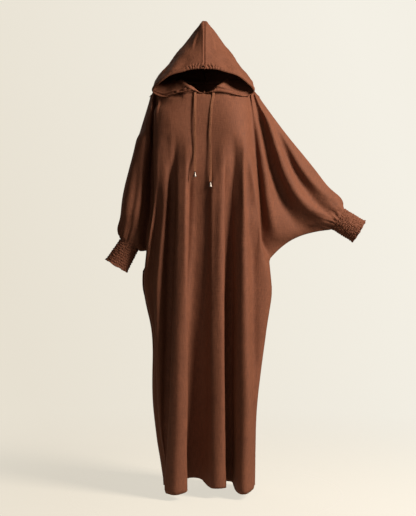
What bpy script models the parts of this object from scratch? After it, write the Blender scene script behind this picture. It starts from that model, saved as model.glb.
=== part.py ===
"""Hooded abaya: batwing body, pointed drawstring hood and shirred cuffs.

Metres, +Z up, the front towards -Y. The origin is at the base of the neck, between
the shoulders, where the wearer carries the garment. Left and right in the names are
the wearer's own, so the right sleeve is at -X. Tables are in centimetres.
"""
import math

import bmesh
import bpy
import numpy as np
from mathutils import Vector
from mathutils.bvhtree import BVHTree

CM = 0.01
MM = 0.001

CLOTH = 1.5 * MM
CASING_CLOTH = 3.2 * MM
CUFF_CLOTH = 2.0 * MM
SEAM_GAP = 0.3 * MM
SEAM_ROLL = 5.0 * MM
SEAM_PROUD = 0.35 * MM
CORNER_ROLL = 2.5 * MM

# The neck opening is an ellipse that rises from the front point to the sides.
NECK_HALF_WIDTH = 8.5 * CM
NECK_FRONT = 8.5 * CM
NECK_BACK = 7.2 * CM
NECK_FRONT_HEIGHT = -1.5 * CM
NECK_SIDE_HEIGHT = 4.5 * CM
NECK_NAPE_HEIGHT = 5.0 * CM
SHOULDER_SLOPE = 0.52
SHOULDER_END = 19.7 * CM
NECK_SHELF = 0.35

# Heights of the named levels that the tables below give places for.
CHEST, WAIST, HIP, THIGH, SHIN = -20.0, -42.0, -72.0, -86.0, -115.0
CHEST_ANGLES = (0.0, 2.5, 12.0, 24.0, 38.0, 54.0, 72.0, 90.0)
UPPER_LEVELS = (-27.0, -34.5, -42.0, -48.0, -53.0, -55.8)
LOWER_LEVELS = (-65.5, -72.0, -79.0, -86.0, -95.0, -105.0, -115.0, -124.0, -132.0, -138.5)
UNDERARM_LEVEL = -57.5
UNDERARM_ROLL = -57.2
ROWS_TO_UNDERARM = len(CHEST_ANGLES) + len(UPPER_LEVELS) + 2
# How much the rows slope with the underarms, at depths below the neck.
TILT_DEPTHS = (20.0, 34.0, 57.3, 80.0, 150.0)
TILT_SHARES = (0.0, 0.0, 1.0, 0.0, 0.0)
UNDERARM = {-1: (-21.25, 2.2, -57.5), 1: (23.45, 0.0, -61.2)}

# The side seams: x at top, chest, waist, hip, thigh, shin and hem, then how far in
# front of (or behind) the middle each panel passes at the chest and the waist.
SIDES = {
    -1: dict(x=(-17.6, -18.4, -19.6, -22.1, -18.9, -18.7, -14.9), front=(1.2, -1.2),
             back=(4.6, 5.4), depth=(1.5, 0.0, 0.0, 0.0)),
    1: dict(x=(16.8, 18.8, 21.2, 24.5, 22.7, 19.2, 18.5), front=(5.2, 2.2),
            back=(5.6, 3.2), depth=(0.0, 0.0, 0.0, 0.0)),
}
SIDE_HEM = -143.4

# One row for each fold line of the front, from -X to +X: x at the top, chest, waist,
# hip, thigh, shin and hem, how far it stands out at the chest, waist, hip and hem,
# and the height of the hem.
FRONT_FOLDS = (
    ("side_turn", -17.1, -17.6, -18.8, -21.9, -18.8, -18.6, -14.8, 4.0, 4.0, 1.6, 1.0, -143.3),
    ("side_edge", -16.4, -16.6, -18.2, -21.0, -18.4, -17.9, -14.9, 9.0, 9.5, 6.0, 3.4, -143.0),
    ("side_valley", -14.8, -15.4, -16.7, -19.1, -17.9, -17.0, -14.2, 9.5, 7.0, 5.5, 5.2, -142.8),
    ("side_crest", -12.8, -13.1, -14.4, -16.8, -17.1, -16.3, -14.3, 11.5, 11.0, 10.0, 7.6, -142.8),
    ("valley_1", -10.6, -10.5, -11.4, -12.6, -12.9, -13.6, -13.5, 11.5, 9.0, 7.5, 9.6, -142.9),
    ("flute_a_edge", -8.5, -8.9, -9.2, -10.2, -10.8, -11.9, -13.3, 12.2, 12.0, 12.0, 13.0, -143.7),
    ("flute_a_crest", -7.6, -6.4, -6.1, -7.2, -7.9, -8.6, -9.6, 13.0, 14.0, 14.5, 16.5, -143.9),
    ("flute_a_end", -5.2, -4.4, -4.2, -4.9, -5.3, -5.6, -5.9, 13.0, 13.5, 13.5, 13.5, -143.0),
    ("floor_ab", -2.4, -1.9, -1.6, -2.9, -3.7, -4.5, -5.2, 12.8, 12.0, 11.0, 5.0, -140.8),
    ("valley_ab", 0.6, 0.9, 1.8, -0.1, -0.9, -1.6, -2.0, 12.7, 11.5, 10.5, 4.5, -140.6),
    ("flute_b_rise", 3.0, 3.4, 4.1, 3.3, 2.9, 2.5, 1.3, 12.9, 12.5, 11.5, 8.0, -142.4),
    ("flute_b_crest", 5.3, 6.6, 6.2, 5.9, 6.1, 6.4, 6.3, 13.4, 14.0, 13.5, 12.5, -142.2),
    ("flute_b_edge", 7.0, 8.3, 7.7, 7.1, 7.1, 7.4, 8.1, 13.2, 13.0, 12.5, 11.0, -142.2),
    ("valley_bc", 8.0, 10.5, 10.2, 9.8, 9.4, 9.0, 8.7, 12.5, 10.0, 8.5, 4.5, -141.7),
    ("flute_c_rise", 8.5, 12.2, 12.1, 12.0, 11.6, 11.7, 11.1, 12.8, 12.0, 11.0, 9.0, -143.5),
    ("flute_c_crest", 10.4, 14.0, 14.0, 14.5, 14.7, 15.1, 14.5, 13.0, 14.0, 14.0, 14.5, -144.0),
    ("flute_c_edge", 11.8, 15.1, 15.2, 16.0, 16.2, 16.9, 17.1, 12.8, 12.8, 12.5, 12.0, -143.0),
    ("valley_e", 13.0, 15.8, 17.5, 19.1, 18.7, 17.8, 18.0, 12.4, 9.5, 8.0, 6.0, -142.8),
    ("body_edge", 14.4, 16.7, 19.7, 23.0, 21.7, 18.6, 18.2, 10.8, 9.5, 7.0, 5.0, -142.8),
    ("body_turn", 15.8, 17.7, 20.5, 24.2, 22.5, 19.1, 18.5, 8.3, 6.2, 2.4, 1.2, -143.2),
)
BACK_FOLDS = (
    ("side_turn", -17.0, -17.8, -19.2, -21.8, -18.8, -18.6, -14.8, 7.4, 7.8, 4.4, 1.4, -143.2),
    ("side_edge", -16.0, -16.8, -18.0, -20.6, -18.2, -17.2, -14.2, 9.6, 10.6, 8.6, 5.6, -143.0),
    ("side_valley", -14.0, -14.2, -15.0, -16.4, -15.8, -15.2, -13.0, 9.8, 9.2, 7.4, 4.6, -142.4),
    ("crest_1", -11.4, -11.6, -11.8, -12.2, -12.0, -11.8, -10.9, 11.2, 11.8, 12.4, 13.0, -143.5),
    ("edge_1", -8.5, -8.8, -9.0, -9.3, -9.2, -9.0, -8.4, 11.3, 11.0, 10.6, 10.4, -143.1),
    ("valley_12", -7.4, -5.7, -5.8, -6.2, -6.2, -6.0, -5.6, 11.2, 9.6, 8.2, 5.4, -141.9),
    ("crest_2", -4.2, -2.1, -2.2, -2.6, -2.7, -2.6, -2.3, 11.7, 12.4, 13.2, 14.6, -143.8),
    ("edge_2", -0.4, 1.0, 1.0, 0.8, 0.9, 1.0, 1.2, 11.6, 11.8, 12.0, 12.2, -143.2),
    ("valley_23", 3.5, 4.1, 4.3, 4.4, 4.6, 4.8, 4.7, 11.2, 9.4, 8.0, 5.8, -141.8),
    ("crest_3", 7.1, 7.6, 8.0, 8.4, 8.6, 8.8, 8.7, 11.5, 12.0, 12.8, 13.8, -143.6),
    ("edge_3", 8.5, 10.2, 10.6, 11.2, 11.4, 11.6, 11.5, 11.1, 10.6, 10.3, 10.0, -143.1),
    ("valley_34", 10.8, 12.6, 13.4, 14.4, 14.3, 14.1, 13.6, 10.4, 8.8, 7.2, 5.0, -142.2),
    ("crest_4", 13.2, 15.2, 16.8, 19.2, 18.3, 16.8, 16.3, 9.9, 10.0, 9.2, 8.4, -143.0),
    ("side_turn_2", 15.4, 17.4, 20.3, 23.8, 22.2, 19.0, 18.3, 7.2, 6.4, 3.6, 1.8, -143.2),
)

# Cuffs: middle of the top and of the end, half width in the front view and half
# depth at the top, then the same at the end.
CUFFS = {
    -1: dict(top=(-27.7, -55.7), end=(-32.3, -63.4), half=(3.85, 3.1, 4.5, 3.5)),
    1: dict(top=(49.1, -46.2), end=(56.6, -50.8), half=(4.35, 3.2, 4.4, 3.5)),
}
# Underarm seams from the side seam to the cuff, in x and z.
UNDERARM_SEAMS = {
    -1: ((-21.25, -57.5), (-22.8, -57.9), (-24.4, -57.7)),
    1: ((23.45, -61.2), (28.5, -56.1), (34.0, -52.8), (40.5, -50.8), (46.85, -49.95)),
}
UNDERARM_ENDS = {-1: (2.2, 0.0), 1: (0.0, 0.0)}

# One row for each fold line of a sleeve, from the body to the overarm seam: x on the
# shoulder, x and z a third of the way along, x and z two thirds along, how far it
# stands out there, where it ends (0 to 1 along the underarm seam from the side seam,
# then 1 to 2 half way round the cuff to the overarm seam), and the cells before it.
SLEEVE_STATIONS = (0.0, 0.34, 0.7, 1.0)
RIGHT_SLEEVE_FRONT = (
    ("inner_turn", -17.8, -19.1, -20.0, -20.8, -41.0, 2.0, 0.2, 0.30, 1),
    ("inner_edge", -18.0, -19.7, -20.0, -21.4, -41.0, 3.4, 3.2, 0.65, 1),
    ("inner_face", -18.3, -20.2, -20.0, -22.7, -41.0, 4.6, 5.2, 1.00, 1),
    ("ridge", -18.6, -21.2, -20.0, -24.3, -41.0, 5.6, 6.2, 1.25, 1),
    ("trough", -18.9, -21.9, -20.0, -25.4, -40.5, 4.8, 4.3, 1.42, 1),
    ("outer_face", -19.2, -23.4, -19.5, -27.9, -40.0, 3.6, 4.0, 1.70, 2),
    ("overarm", -19.7, -25.0, -19.0, -30.2, -39.0, 0.0, 0.0, 2.00, 2),
)
RIGHT_SLEEVE_BACK = (
    ("inner_turn", -17.8, -19.0, -20.0, -20.6, -41.0, 5.4, 5.8, 0.30, 1),
    ("inner_edge", -18.0, -19.7, -20.0, -21.6, -41.0, 6.6, 7.0, 0.65, 1),
    ("inner_face", -18.3, -20.6, -20.0, -23.2, -41.0, 7.0, 7.2, 1.00, 1),
    ("ridge", -18.7, -21.8, -20.0, -25.2, -40.5, 6.4, 6.0, 1.33, 1),
    ("outer_face", -19.2, -23.6, -19.5, -28.2, -40.0, 4.2, 4.4, 1.67, 2),
    ("overarm", -19.7, -25.0, -19.0, -30.2, -39.0, 0.0, 0.0, 2.00, 2),
)
LEFT_SLEEVE_FRONT = (
    ("ridge_1", 17.2, 20.8, -20.0, 24.6, -38.4, 6.8, 5.8, 0.30, 2),
    ("trough_2", 17.6, 23.1, -18.4, 29.4, -35.6, 4.6, 2.8, 0.70, 3),
    ("corner", 18.0, 24.5, -17.6, 31.4, -35.2, 5.4, 4.6, 1.00, 2),
    ("ridge_2", 18.4, 25.8, -16.8, 33.4, -34.4, 5.8, 5.4, 1.36, 2),
    ("trough_3", 18.8, 27.3, -15.5, 36.8, -32.0, 3.7, 2.4, 1.58, 2),
    ("ridge_3", 19.1, 28.2, -15.0, 38.8, -31.2, 3.2, 3.5, 1.78, 1),
    ("overarm", 19.7, 29.5, -14.6, 41.3, -29.2, 0.0, 0.0, 2.00, 2),
)
LEFT_SLEEVE_BACK = (
    ("ridge_1", 17.2, 20.6, -19.6, 25.2, -38.0, 7.2, 6.2, 0.30, 2),
    ("trough_2", 17.7, 22.8, -18.3, 28.8, -35.8, 5.4, 3.4, 0.70, 3),
    ("corner", 18.0, 24.2, -17.6, 31.0, -35.2, 5.8, 4.8, 1.00, 2),
    ("ridge_2", 18.4, 25.4, -16.8, 33.0, -34.6, 6.0, 5.6, 1.28, 1),
    ("trough_3", 18.8, 27.0, -15.8, 36.2, -32.4, 4.4, 3.0, 1.53, 2),
    ("ridge_3", 19.1, 28.1, -15.1, 38.6, -31.4, 3.8, 3.8, 1.75, 1),
    ("overarm", 19.7, 29.5, -14.6, 41.3, -29.2, 0.0, 0.0, 2.00, 2),
)
PUFF = 1.3 * CM
PUFF_START = 0.84
PUFF_BELOW = 0.12
OVERARM_TURN = 0.05
UNDERARM_TURN = 0.7
WIDEST_CELL = 2.7 * CM
CELL_ROUNDING = 0.35
# Where the overarm turn starts on the shoulder, and how far the cloth at the inner
# corner of the cuff is drawn back, on the corner point and on the one after it.
SHOULDER_TURN = 3.0 * MM
CORNER_EASE = (1.0 * MM, 0.4 * MM)
# Powers of the distance between points that space the knots of a row and of a hood edge.
ROW_KNOTS = 0.5
HOOD_KNOTS = 0.7

# Hood: the opening edge of one half from the front point round the corner to the top
# of the opening. The rows marked lip lie on the chest, and their depth follows it.
HOOD_OPENING = (
    ("point", 0.3, -8.7, -1.3),
    ("edge", 0.4, -9.3, -1.4),
    ("edge", 1.7, -10.1, -1.4),
    ("lip", 3.4, 0.0, -1.45),
    ("lip", 5.6, 0.0, -1.5),
    ("lip", 8.9, 0.0, -2.0),
    ("lip", 12.5, 0.0, -2.5),
    ("corner", 15.7, -5.9, -1.7),
    ("corner", 17.4, -5.9, -0.5),
    ("corner", 16.6, -7.7, 0.8),
    ("edge", 14.8, -9.6, 2.1),
    ("edge", 11.9, -11.0, 4.5),
    ("edge", 8.7, -11.8, 5.3),
    ("edge", 5.1, -12.3, 6.4),
    ("top", 0.0, -12.6, 6.7),
)
LIP_CLEARANCE = 0.9 * MM
# The centre seam in y and z: over the forehead to the peak, and from the nape up.
HOOD_BROW = ((-12.6, 6.7), (-9.4, 11.9), (-6.0, 17.6), (-2.9, 22.9), (-1.0, 26.2))
HOOD_BACK = ((7.3, 5.1), (11.6, 4.4), (14.6, 8.2), (14.2, 14.0), (10.4, 19.8), (5.0, 24.0), (-1.0, 26.2))
HOOD_BULGE = (2.1, 0.0, -0.7)
HOOD_FULL = 2.15
HOOD_ROUND_FORE = (0.8, 0.45)
HOOD_ROUND_UP = (0.9, 0.35)
HOOD_RIDGE = 6.0 * MM
# The peak is blunt and its sides are straight, so the half is widened towards it.
PEAK_REACH = 3.3 * CM
PEAK_FULL = 1.5
PEAK_RIDGE = 6.0 * MM
# The right corner of the hood reaches farther out than the left.
HOOD_SPREAD = {-1: 1.065, 1: 1.02}
HOOD_FRONT_ANGLE = 0.035
HOOD_CLEARANCE = 1.8 * MM
LIFT_STEPS = 12
LIFT_SHARE = 0.3
LIFT_REACH = 5.0 * CM
HOOD_CROWN = 0.97
# The hood's neck edge lies just outside and above the panels' neck edge.
NECK_OUT = 0.7 * MM
NECK_RAISE = 2.0 * MM
HOOD_STAND = 1.1 * CM
HOOD_STAND_END = 0.05
CASING_STEPS = (0.0, 3.5, 9.5, 15.0, 17.5, 21.0)
CASING_RISE = (0.4, 1.8, 2.0, 1.4, 0.0, 0.2)
# The casing fades in over the first rows from the neck.
CASING_START = (0.0, 0.0, 0.1, 0.4, 0.8, 1.0)
HOOD_CELLS = 10
HOOD_CELL_GROWTH = 1.25
HOOD_ROWS = (0.0, 0.03, 0.085, 0.14, 0.20, 0.26, 0.32, 0.37, 0.41, 0.455, 0.51, 0.58, 0.66, 0.74, 0.82,
             0.875, 0.92, 0.95, 1.0)

CUFF_GATHERS = 32
CUFF_RIB = 1.4 * MM
CUFF_ROWS = 3
# A gather stands this share of its height on a stitched row, and the cloth puffs between.
CUFF_STITCHED = 0.45
CUFF_PUFF = 0.7 * MM

TIE_WIDTH = 9.0 * MM
TIE_THICKNESS = 2.4 * MM
# Points down the middle of each tie, from the casing to its metal end.
TIE_ROUTES = {
    "drawstring_right": ((-3.3, -9.95, -1.23), (-3.3, -11.15, -4.5), (-3.35, -12.1, -8.0),
                         (-3.4, -12.75, -12.0), (-3.4, -13.2, -18.0), (-3.4, -13.5, -24.0),
                         (-3.35, -13.9, -30.0)),
    "drawstring_left": ((3.2, -9.97, -1.28), (3.2, -10.45, -2.7), (2.8, -11.15, -4.5), (2.4, -12.05, -8.0),
                        (2.15, -12.7, -12.0), (1.95, -13.15, -18.0), (2.2, -13.25, -25.0),
                        (2.1, -13.25, -33.6)),
}
TIE_POINTS = 15
TIE_TURN = math.pi / 2

BELL = ((0.0, 0.0), (2.6, 0.0), (3.4, -0.8), (3.6, -5.0), (4.6, -9.5), (6.0, -14.5), (6.2, -16.6),
        (5.4, -17.6), (0.0, -17.6))
BELL_SIDES = 12

CLOTH_COLOUR = (0.176, 0.080, 0.046, 1.0)
METAL_COLOUR = (0.40, 0.38, 0.36, 1.0)


def smooth(at, knots, values):
    """Reads a smooth curve through the knots."""
    at = np.asarray(at, float)
    knots = np.asarray(knots, float)
    values = np.asarray(values, float)
    slopes = np.gradient(values, knots, axis=0)
    place = np.clip(np.searchsorted(knots, at) - 1, 0, len(knots) - 2)
    step = knots[place + 1] - knots[place]
    t = (at - knots[place]) / step
    if values.ndim > 1:
        t = t[..., None]
        step = step[..., None]
    blend = t * t * (3 - 2 * t)
    return (values[place] * (1 - blend) + values[place + 1] * blend
            + step * t * (1 - t) * (slopes[place] * (1 - t) - slopes[place + 1] * t))


def chord_knots(points, power=1.0):
    """Knots spaced by the distance between points; a power of 0.5 keeps bends tight."""
    steps = np.linalg.norm(np.diff(points, axis=0), axis=1) ** power
    return np.concatenate(([0.0], np.cumsum(np.maximum(steps, 1e-9))))


def neck_point(angle):
    """A point of the neck opening, from the front (0) by the +X side to the nape (pi)."""
    x = NECK_HALF_WIDTH * math.sin(angle)
    if math.cos(angle) > 0:
        y = -NECK_FRONT * math.cos(angle)
        end = NECK_FRONT_HEIGHT
    else:
        y = -NECK_BACK * math.cos(angle)
        end = NECK_NAPE_HEIGHT
    z = NECK_SIDE_HEIGHT + (end - NECK_SIDE_HEIGHT) * math.cos(angle) ** 2
    return np.array((x, y, z))


def top_point(x, side):
    """The top edge of a panel at x: the neck opening, then the shoulder seam."""
    if abs(x) < NECK_HALF_WIDTH - 1e-6:
        angle = math.asin(x / NECK_HALF_WIDTH)
        return neck_point(angle if side < 0 else math.pi - angle)
    z = NECK_SIDE_HEIGHT - SHOULDER_SLOPE * (abs(x) - NECK_HALF_WIDTH)
    return np.array((x, side * SEAM_GAP / 2, z))


def body_heights(hem):
    """Heights of a body column's rows below the chest, in centimetres."""
    return np.array(UPPER_LEVELS + (UNDERARM_ROLL, UNDERARM_LEVEL) + LOWER_LEVELS + (hem,))


def tilt(heights, x):
    """The rows near the underarm slope from one underarm point to the other."""
    middle = (UNDERARM[1][2] - UNDERARM[-1][2]) / (UNDERARM[1][0] - UNDERARM[-1][0])
    drop = middle * (x - UNDERARM[-1][0])
    share = smooth(-heights, TILT_DEPTHS, TILT_SHARES)
    return heights + drop * np.clip(share, 0.0, 1.0)


def chest_rows(top, chest):
    """A column's rows from the top edge to the chest, round the shoulder."""
    rows = []
    for degrees in CHEST_ANGLES:
        angle = math.radians(degrees)
        fall = 1 - math.cos(angle)
        x = top[0] + (chest[0] - top[0]) * fall
        y = top[1] + (chest[1] - top[1]) * math.sin(angle)
        z = top[2] + (chest[2] - top[2]) * fall
        rows.append((x, y, z))
    return rows


def body_column(fold, side):
    """One fold line of the body, from the top edge to the hem."""
    x_table = fold[1:8]
    out_table = fold[8:12]
    hem = fold[12]
    top = top_point(x_table[0] * CM, side)
    heights = body_heights(hem)
    levels = (-CHEST, -WAIST, -HIP, -THIGH, -SHIN, -hem)
    x = smooth(-heights, levels, x_table[1:])
    out = smooth(-heights, (-CHEST, -WAIST, -HIP, -hem), out_table)
    z = tilt(heights, x)
    chest = np.array((x_table[1], side * out_table[0], CHEST)) * CM
    below = np.stack((x, side * out, z), axis=1) * CM
    return np.vstack((chest_rows(top, chest), below))


def side_column(end, side):
    """The line where body and sleeve meet, and the side seam below the underarm."""
    table = SIDES[end]
    out = table["front"] if side < 0 else table["back"]
    underarm = UNDERARM[end]
    seam = side * SEAM_GAP / 2
    heights = body_heights(SIDE_HEM)
    x = smooth(-heights, (-CHEST, -WAIST, -UNDERARM_LEVEL, -HIP, -THIGH, -SHIN, -SIDE_HEM),
               table["x"][1:3] + (underarm[0],) + table["x"][3:])
    z = tilt(heights, x)
    start = side * out[0]
    middle = side * out[1]
    y = np.interp(-heights, (-CHEST, -WAIST), (start, middle))
    upper = heights >= UNDERARM_ROLL
    fall = np.clip((-heights + WAIST) / (WAIST - UNDERARM_LEVEL), 0.0, 1.0)
    y = np.where(upper, underarm[1] + (y - underarm[1]) * np.sqrt(1 - fall ** 2), y)
    depth = smooth(-heights, (-UNDERARM_LEVEL, -HIP, -THIGH, -SHIN, -SIDE_HEM),
                   (underarm[1],) + table["depth"])
    y = np.where(upper, y, depth)
    roll = ROWS_TO_UNDERARM - len(CHEST_ANGLES) - 2
    below = np.stack((x * CM, y * CM, z * CM), axis=1)
    below[roll + 1:, 1] += seam
    below[roll + 1] = underarm_point(end, 0.0, side)
    below[roll] = turn_over(below[roll + 1], side, (0.0, 0.0, -1.0))
    below[roll, 0] += end * CORNER_ROLL
    top = top_point(table["x"][0] * CM, side)
    chest = np.array((table["x"][1], start, CHEST)) * CM
    return np.vstack((chest_rows(top, chest), below))


def turn_over(points, side, outward):
    """Points just inside a seam, a little proud of it, where the cloth turns over."""
    return points + np.array((0.0, side * SEAM_ROLL, 0.0)) + np.asarray(outward) * SEAM_PROUD


def cuff_axes(end):
    """Middle, axis and overarm direction of a cuff's top, in metres."""
    cuff = CUFFS[end]
    top = np.array((cuff["top"][0], 0.0, cuff["top"][1])) * CM
    low = np.array((cuff["end"][0], 0.0, cuff["end"][1])) * CM
    axis = (low - top) / np.linalg.norm(low - top)
    overarm = np.array((-axis[2], 0.0, axis[0])) * end
    return top, low, axis, overarm


def cuff_ring(end, angle, side, share=0.0, rise=0.0):
    """A point on a cuff, angle in degrees from the overarm seam, on one panel's side."""
    top, low, axis, overarm = cuff_axes(end)
    wide, deep, end_wide, end_deep = CUFFS[end]["half"]
    wide = (wide + (end_wide - wide) * share) * CM + rise
    deep = (deep + (end_deep - deep) * share) * CM + rise
    turn = math.radians(angle)
    across = overarm * wide * math.cos(turn)
    return top + (low - top) * share + across + np.array((0.0, side * deep * math.sin(turn), 0.0))


def underarm_point(end, share, side):
    """A point of the underarm seam, from the side seam (0) to the cuff (1)."""
    seam = np.array(UNDERARM_SEAMS[end]) * CM
    x, z = smooth(share, np.linspace(0, 1, len(seam)), seam)
    near, far = UNDERARM_ENDS[end]
    y = near + (far - near) * share ** 2
    return np.array((x, y * CM + side * SEAM_GAP / 2, z))


def sleeve_end(end, side, place):
    """A point of a sleeve's lower edge: below 1 on the underarm seam, then round the cuff."""
    if place <= 1.0:
        return underarm_point(end, place, side)
    return cuff_ring(end, 180.0 * (2.0 - place), side) + np.array((0.0, side * SEAM_GAP, 0.0))


def sleeve_column(row, end, side, shared_share, weight):
    """One fold line of a sleeve, with its rows level with those of the body."""
    top_x, x1, z1, x2, z2, out1, out2, place = row[1:9]
    top = top_point(top_x * CM, side)
    finish = sleeve_end(end, side, place)
    early = SLEEVE_STATIONS[1] * np.array(CHEST_ANGLES) / 90.0
    share = shared_share.copy()
    head = len(CHEST_ANGLES)
    share[:head] = share[:head] * (1 - weight) + early * weight
    path = ((top[0], top[2]), (x1 * CM, z1 * CM), (x2 * CM, z2 * CM), (finish[0], finish[2]))
    xz = smooth(share, SLEEVE_STATIONS, path)
    rise = np.sqrt(1 - np.clip(1 - share / SLEEVE_STATIONS[1], 0, 1) ** 2)
    start_y = side * out1 * CM
    if place > 1.0:
        out = smooth(share, SLEEVE_STATIONS, (start_y, start_y, side * out2 * CM, finish[1]))
        y = top[1] + (out - top[1]) * rise
        overarm = cuff_axes(end)[3]
        turn = math.pi * (2.0 - place)
        puff = np.sin(np.pi * np.clip((share - PUFF_START) / (1 - PUFF_START), 0, 1)) * PUFF
        puff = puff * (PUFF_BELOW + (1 - PUFF_BELOW) * math.cos(turn / 2) ** 2)
        xz += np.outer(puff * math.cos(turn), overarm[[0, 2]])
        y += puff * side * math.sin(turn)
    else:
        out = np.interp(share, SLEEVE_STATIONS[:3], (start_y, start_y, side * out2 * CM))
        fall = np.clip((share - UNDERARM_TURN) / (1 - UNDERARM_TURN), 0, 1)
        y = top[1] + (out - top[1]) * rise
        y = finish[1] + (y - finish[1]) * np.sqrt(1 - fall ** 2)
    return np.stack((xz[:, 0], y, xz[:, 1]), axis=1)


def sleeve_columns(table, end, side, shared):
    """The fold lines of a sleeve, the overarm seam last, with its turn before it."""
    fall = shared[0, 2] - shared[:, 2]
    shared_share = fall / fall[-1]
    columns = []
    for number, row in enumerate(table):
        weight = min(1.0, (number + 1) / (len(table) - 1))
        columns.append(sleeve_column(row, end, side, shared_share, weight))
    seam = columns[-1]
    seam[:, 1] = side * SEAM_GAP / 2
    seam[:3, 1] = side * SEAM_GAP
    along = np.gradient(seam, axis=0)
    outward = np.stack((-along[:, 2], np.zeros(len(seam)), along[:, 0]), axis=1) * end
    outward /= np.linalg.norm(outward, axis=1)[:, None]
    turn = turn_over(seam, side, outward)
    turn[0] = top_point(end * (SHOULDER_END - SHOULDER_TURN), side)
    columns.insert(len(columns) - 1, turn)
    return columns


def end_places(table):
    """Where each fold line of a sleeve meets its lower edge, with the overarm turn."""
    places = [row[8] for row in table]
    return places[:-1] + [2.0 - OVERARM_TURN, 2.0]


def sleeve_cells(table):
    """Cells of each gap of a sleeve, from the body outwards."""
    return [row[9] for row in table] + [1]


def cells_between(columns):
    """How many cells each gap between fold lines gets, from its mean width."""
    counts = []
    for left, right in zip(columns, columns[1:]):
        rows = min(len(left), len(right))
        width = np.linalg.norm(left[:rows] - right[:rows], axis=1).mean()
        counts.append(max(1, round(width / WIDEST_CELL + CELL_ROUNDING)))
    counts[0] = counts[-1] = 1
    return counts


def spread(knots, counts):
    """Places along a row: each gap between fold lines cut into its cells."""
    at = [knots[0]]
    for number, count in enumerate(counts):
        steps = np.linspace(knots[number], knots[number + 1], count + 1)[1:]
        at.extend(steps)
    return np.array(at)


def across(points, counts):
    """One row of the panel: a smooth line through the fold lines' points."""
    knots = chord_knots(points, ROW_KNOTS)
    return smooth(spread(knots, counts), knots, points)


def lower_edge(sleeve, end, side, counts):
    """The sleeve's lower edge and the turn above it, from the body to the overarm."""
    places = spread(np.array([0.0] + end_places(sleeve)), counts)
    edge = np.array([sleeve_end(end, side, place) for place in places])
    axis = cuff_axes(end)[2]
    over = np.array((0.0, side * SEAM_ROLL, -SEAM_PROUD))
    turn = edge + np.where((places > 1.0)[:, None], -axis * SEAM_ROLL, over)
    corner = int(np.argmin(np.abs(places - 1.0)))
    edge[corner] -= axis * CORNER_EASE[0]
    edge[corner + 1] -= axis * CORNER_EASE[1]
    turn[corner] = edge[corner] + over - axis * CORNER_EASE[0]
    return edge, turn


def panel_rows(folds, right_sleeve, left_sleeve, side):
    """Rows of points of one panel: whole rows to the underarm, body rows below it."""
    left_edge = side_column(-1, side)
    right_edge = side_column(1, side)
    body = [left_edge] + [body_column(fold, side) for fold in folds] + [right_edge]
    rows_up = ROWS_TO_UNDERARM
    for edge, turned, outward in ((left_edge, body[1], -1), (right_edge, body[-2], 1)):
        turn = turn_over(edge, side, (outward, 0.0, 0.0))
        turned[rows_up:, :2] = turn[rows_up:, :2]
        turned[rows_up - 1] = turn[rows_up - 1] - np.array((0.0, 0.0, CORNER_ROLL))
        beyond = np.array((0.0, side * SEAM_ROLL, CORNER_ROLL / 2))
        turned[rows_up - 2] = (turned[rows_up - 1] + edge[rows_up - 2]) / 2 + beyond
    right = sleeve_columns(right_sleeve, -1, side, left_edge[:rows_up])
    left = sleeve_columns(left_sleeve, 1, side, right_edge[:rows_up])
    whole = right[::-1] + body + left
    right_counts = sleeve_cells(right_sleeve)
    left_counts = sleeve_cells(left_sleeve)
    body_counts = cells_between(body)
    counts = right_counts[::-1] + body_counts + left_counts
    rows = [across(np.array([column[row] for column in whole]), counts) for row in range(rows_up)]

    # The top edge follows the neck and shoulder exactly, and turns over the shoulder.
    rows[0] = np.array([top_point(x, side) for x in rows[0][:, 0]])
    on_shoulder = np.abs(rows[0][:, 0]) >= NECK_HALF_WIDTH - 1e-6
    on_shoulder[:2] = False
    on_shoulder[-2:] = False
    rows[1] = rows[0] * (1 - NECK_SHELF) + rows[2] * NECK_SHELF
    rows[1][on_shoulder] = turn_over(rows[0][on_shoulder], side, (0.0, 0.0, 1.0))
    for place, column in ((0, right[-1]), (1, right[-2]), (-1, left[-1]), (-2, left[-2])):
        rows[1][place] = column[1]

    # The sleeves' lower edges follow the underarm seam and the cuff exactly.
    edge, turn = lower_edge(right_sleeve, -1, side, right_counts)
    rows[-1][:len(edge)] = edge[::-1]
    rows[-2][:len(edge) - 1] = turn[:0:-1]
    edge, turn = lower_edge(left_sleeve, 1, side, left_counts)
    rows[-1][-len(edge):] = edge
    rows[-2][1 - len(edge):] = turn[1:]

    for row in range(rows_up, len(left_edge)):
        rows.append(across(np.array([column[row] for column in body]), body_counts))
    under = {end: sum(row[9] for row in sleeve if row[8] <= 1.0)
             for end, sleeve in ((-1, right_sleeve), (1, left_sleeve))}
    return rows, sum(right_counts), under


def panel_mesh(name, rows, skipped, under, side):
    """Joins the rows of a panel; the rows below the underarm start at the side seam."""
    mesh = bmesh.new()
    grid = []
    for number, row in enumerate(rows):
        start = 0 if number < ROWS_TO_UNDERARM else skipped
        verts = {start + place: mesh.verts.new(point) for place, point in enumerate(row)}
        grid.append(verts)
    for upper, lower in zip(grid, grid[1:]):
        for place in lower:
            if place + 1 in lower:
                corners = [upper[place], lower[place], lower[place + 1], upper[place + 1]]
                mesh.faces.new(corners if side < 0 else corners[::-1])
    mesh.verts.index_update()
    numbers = [{place: vert.index for place, vert in verts.items()} for verts in grid]
    return new_object(name, mesh), seam_lines(numbers, skipped, under, rows[0])


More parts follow.
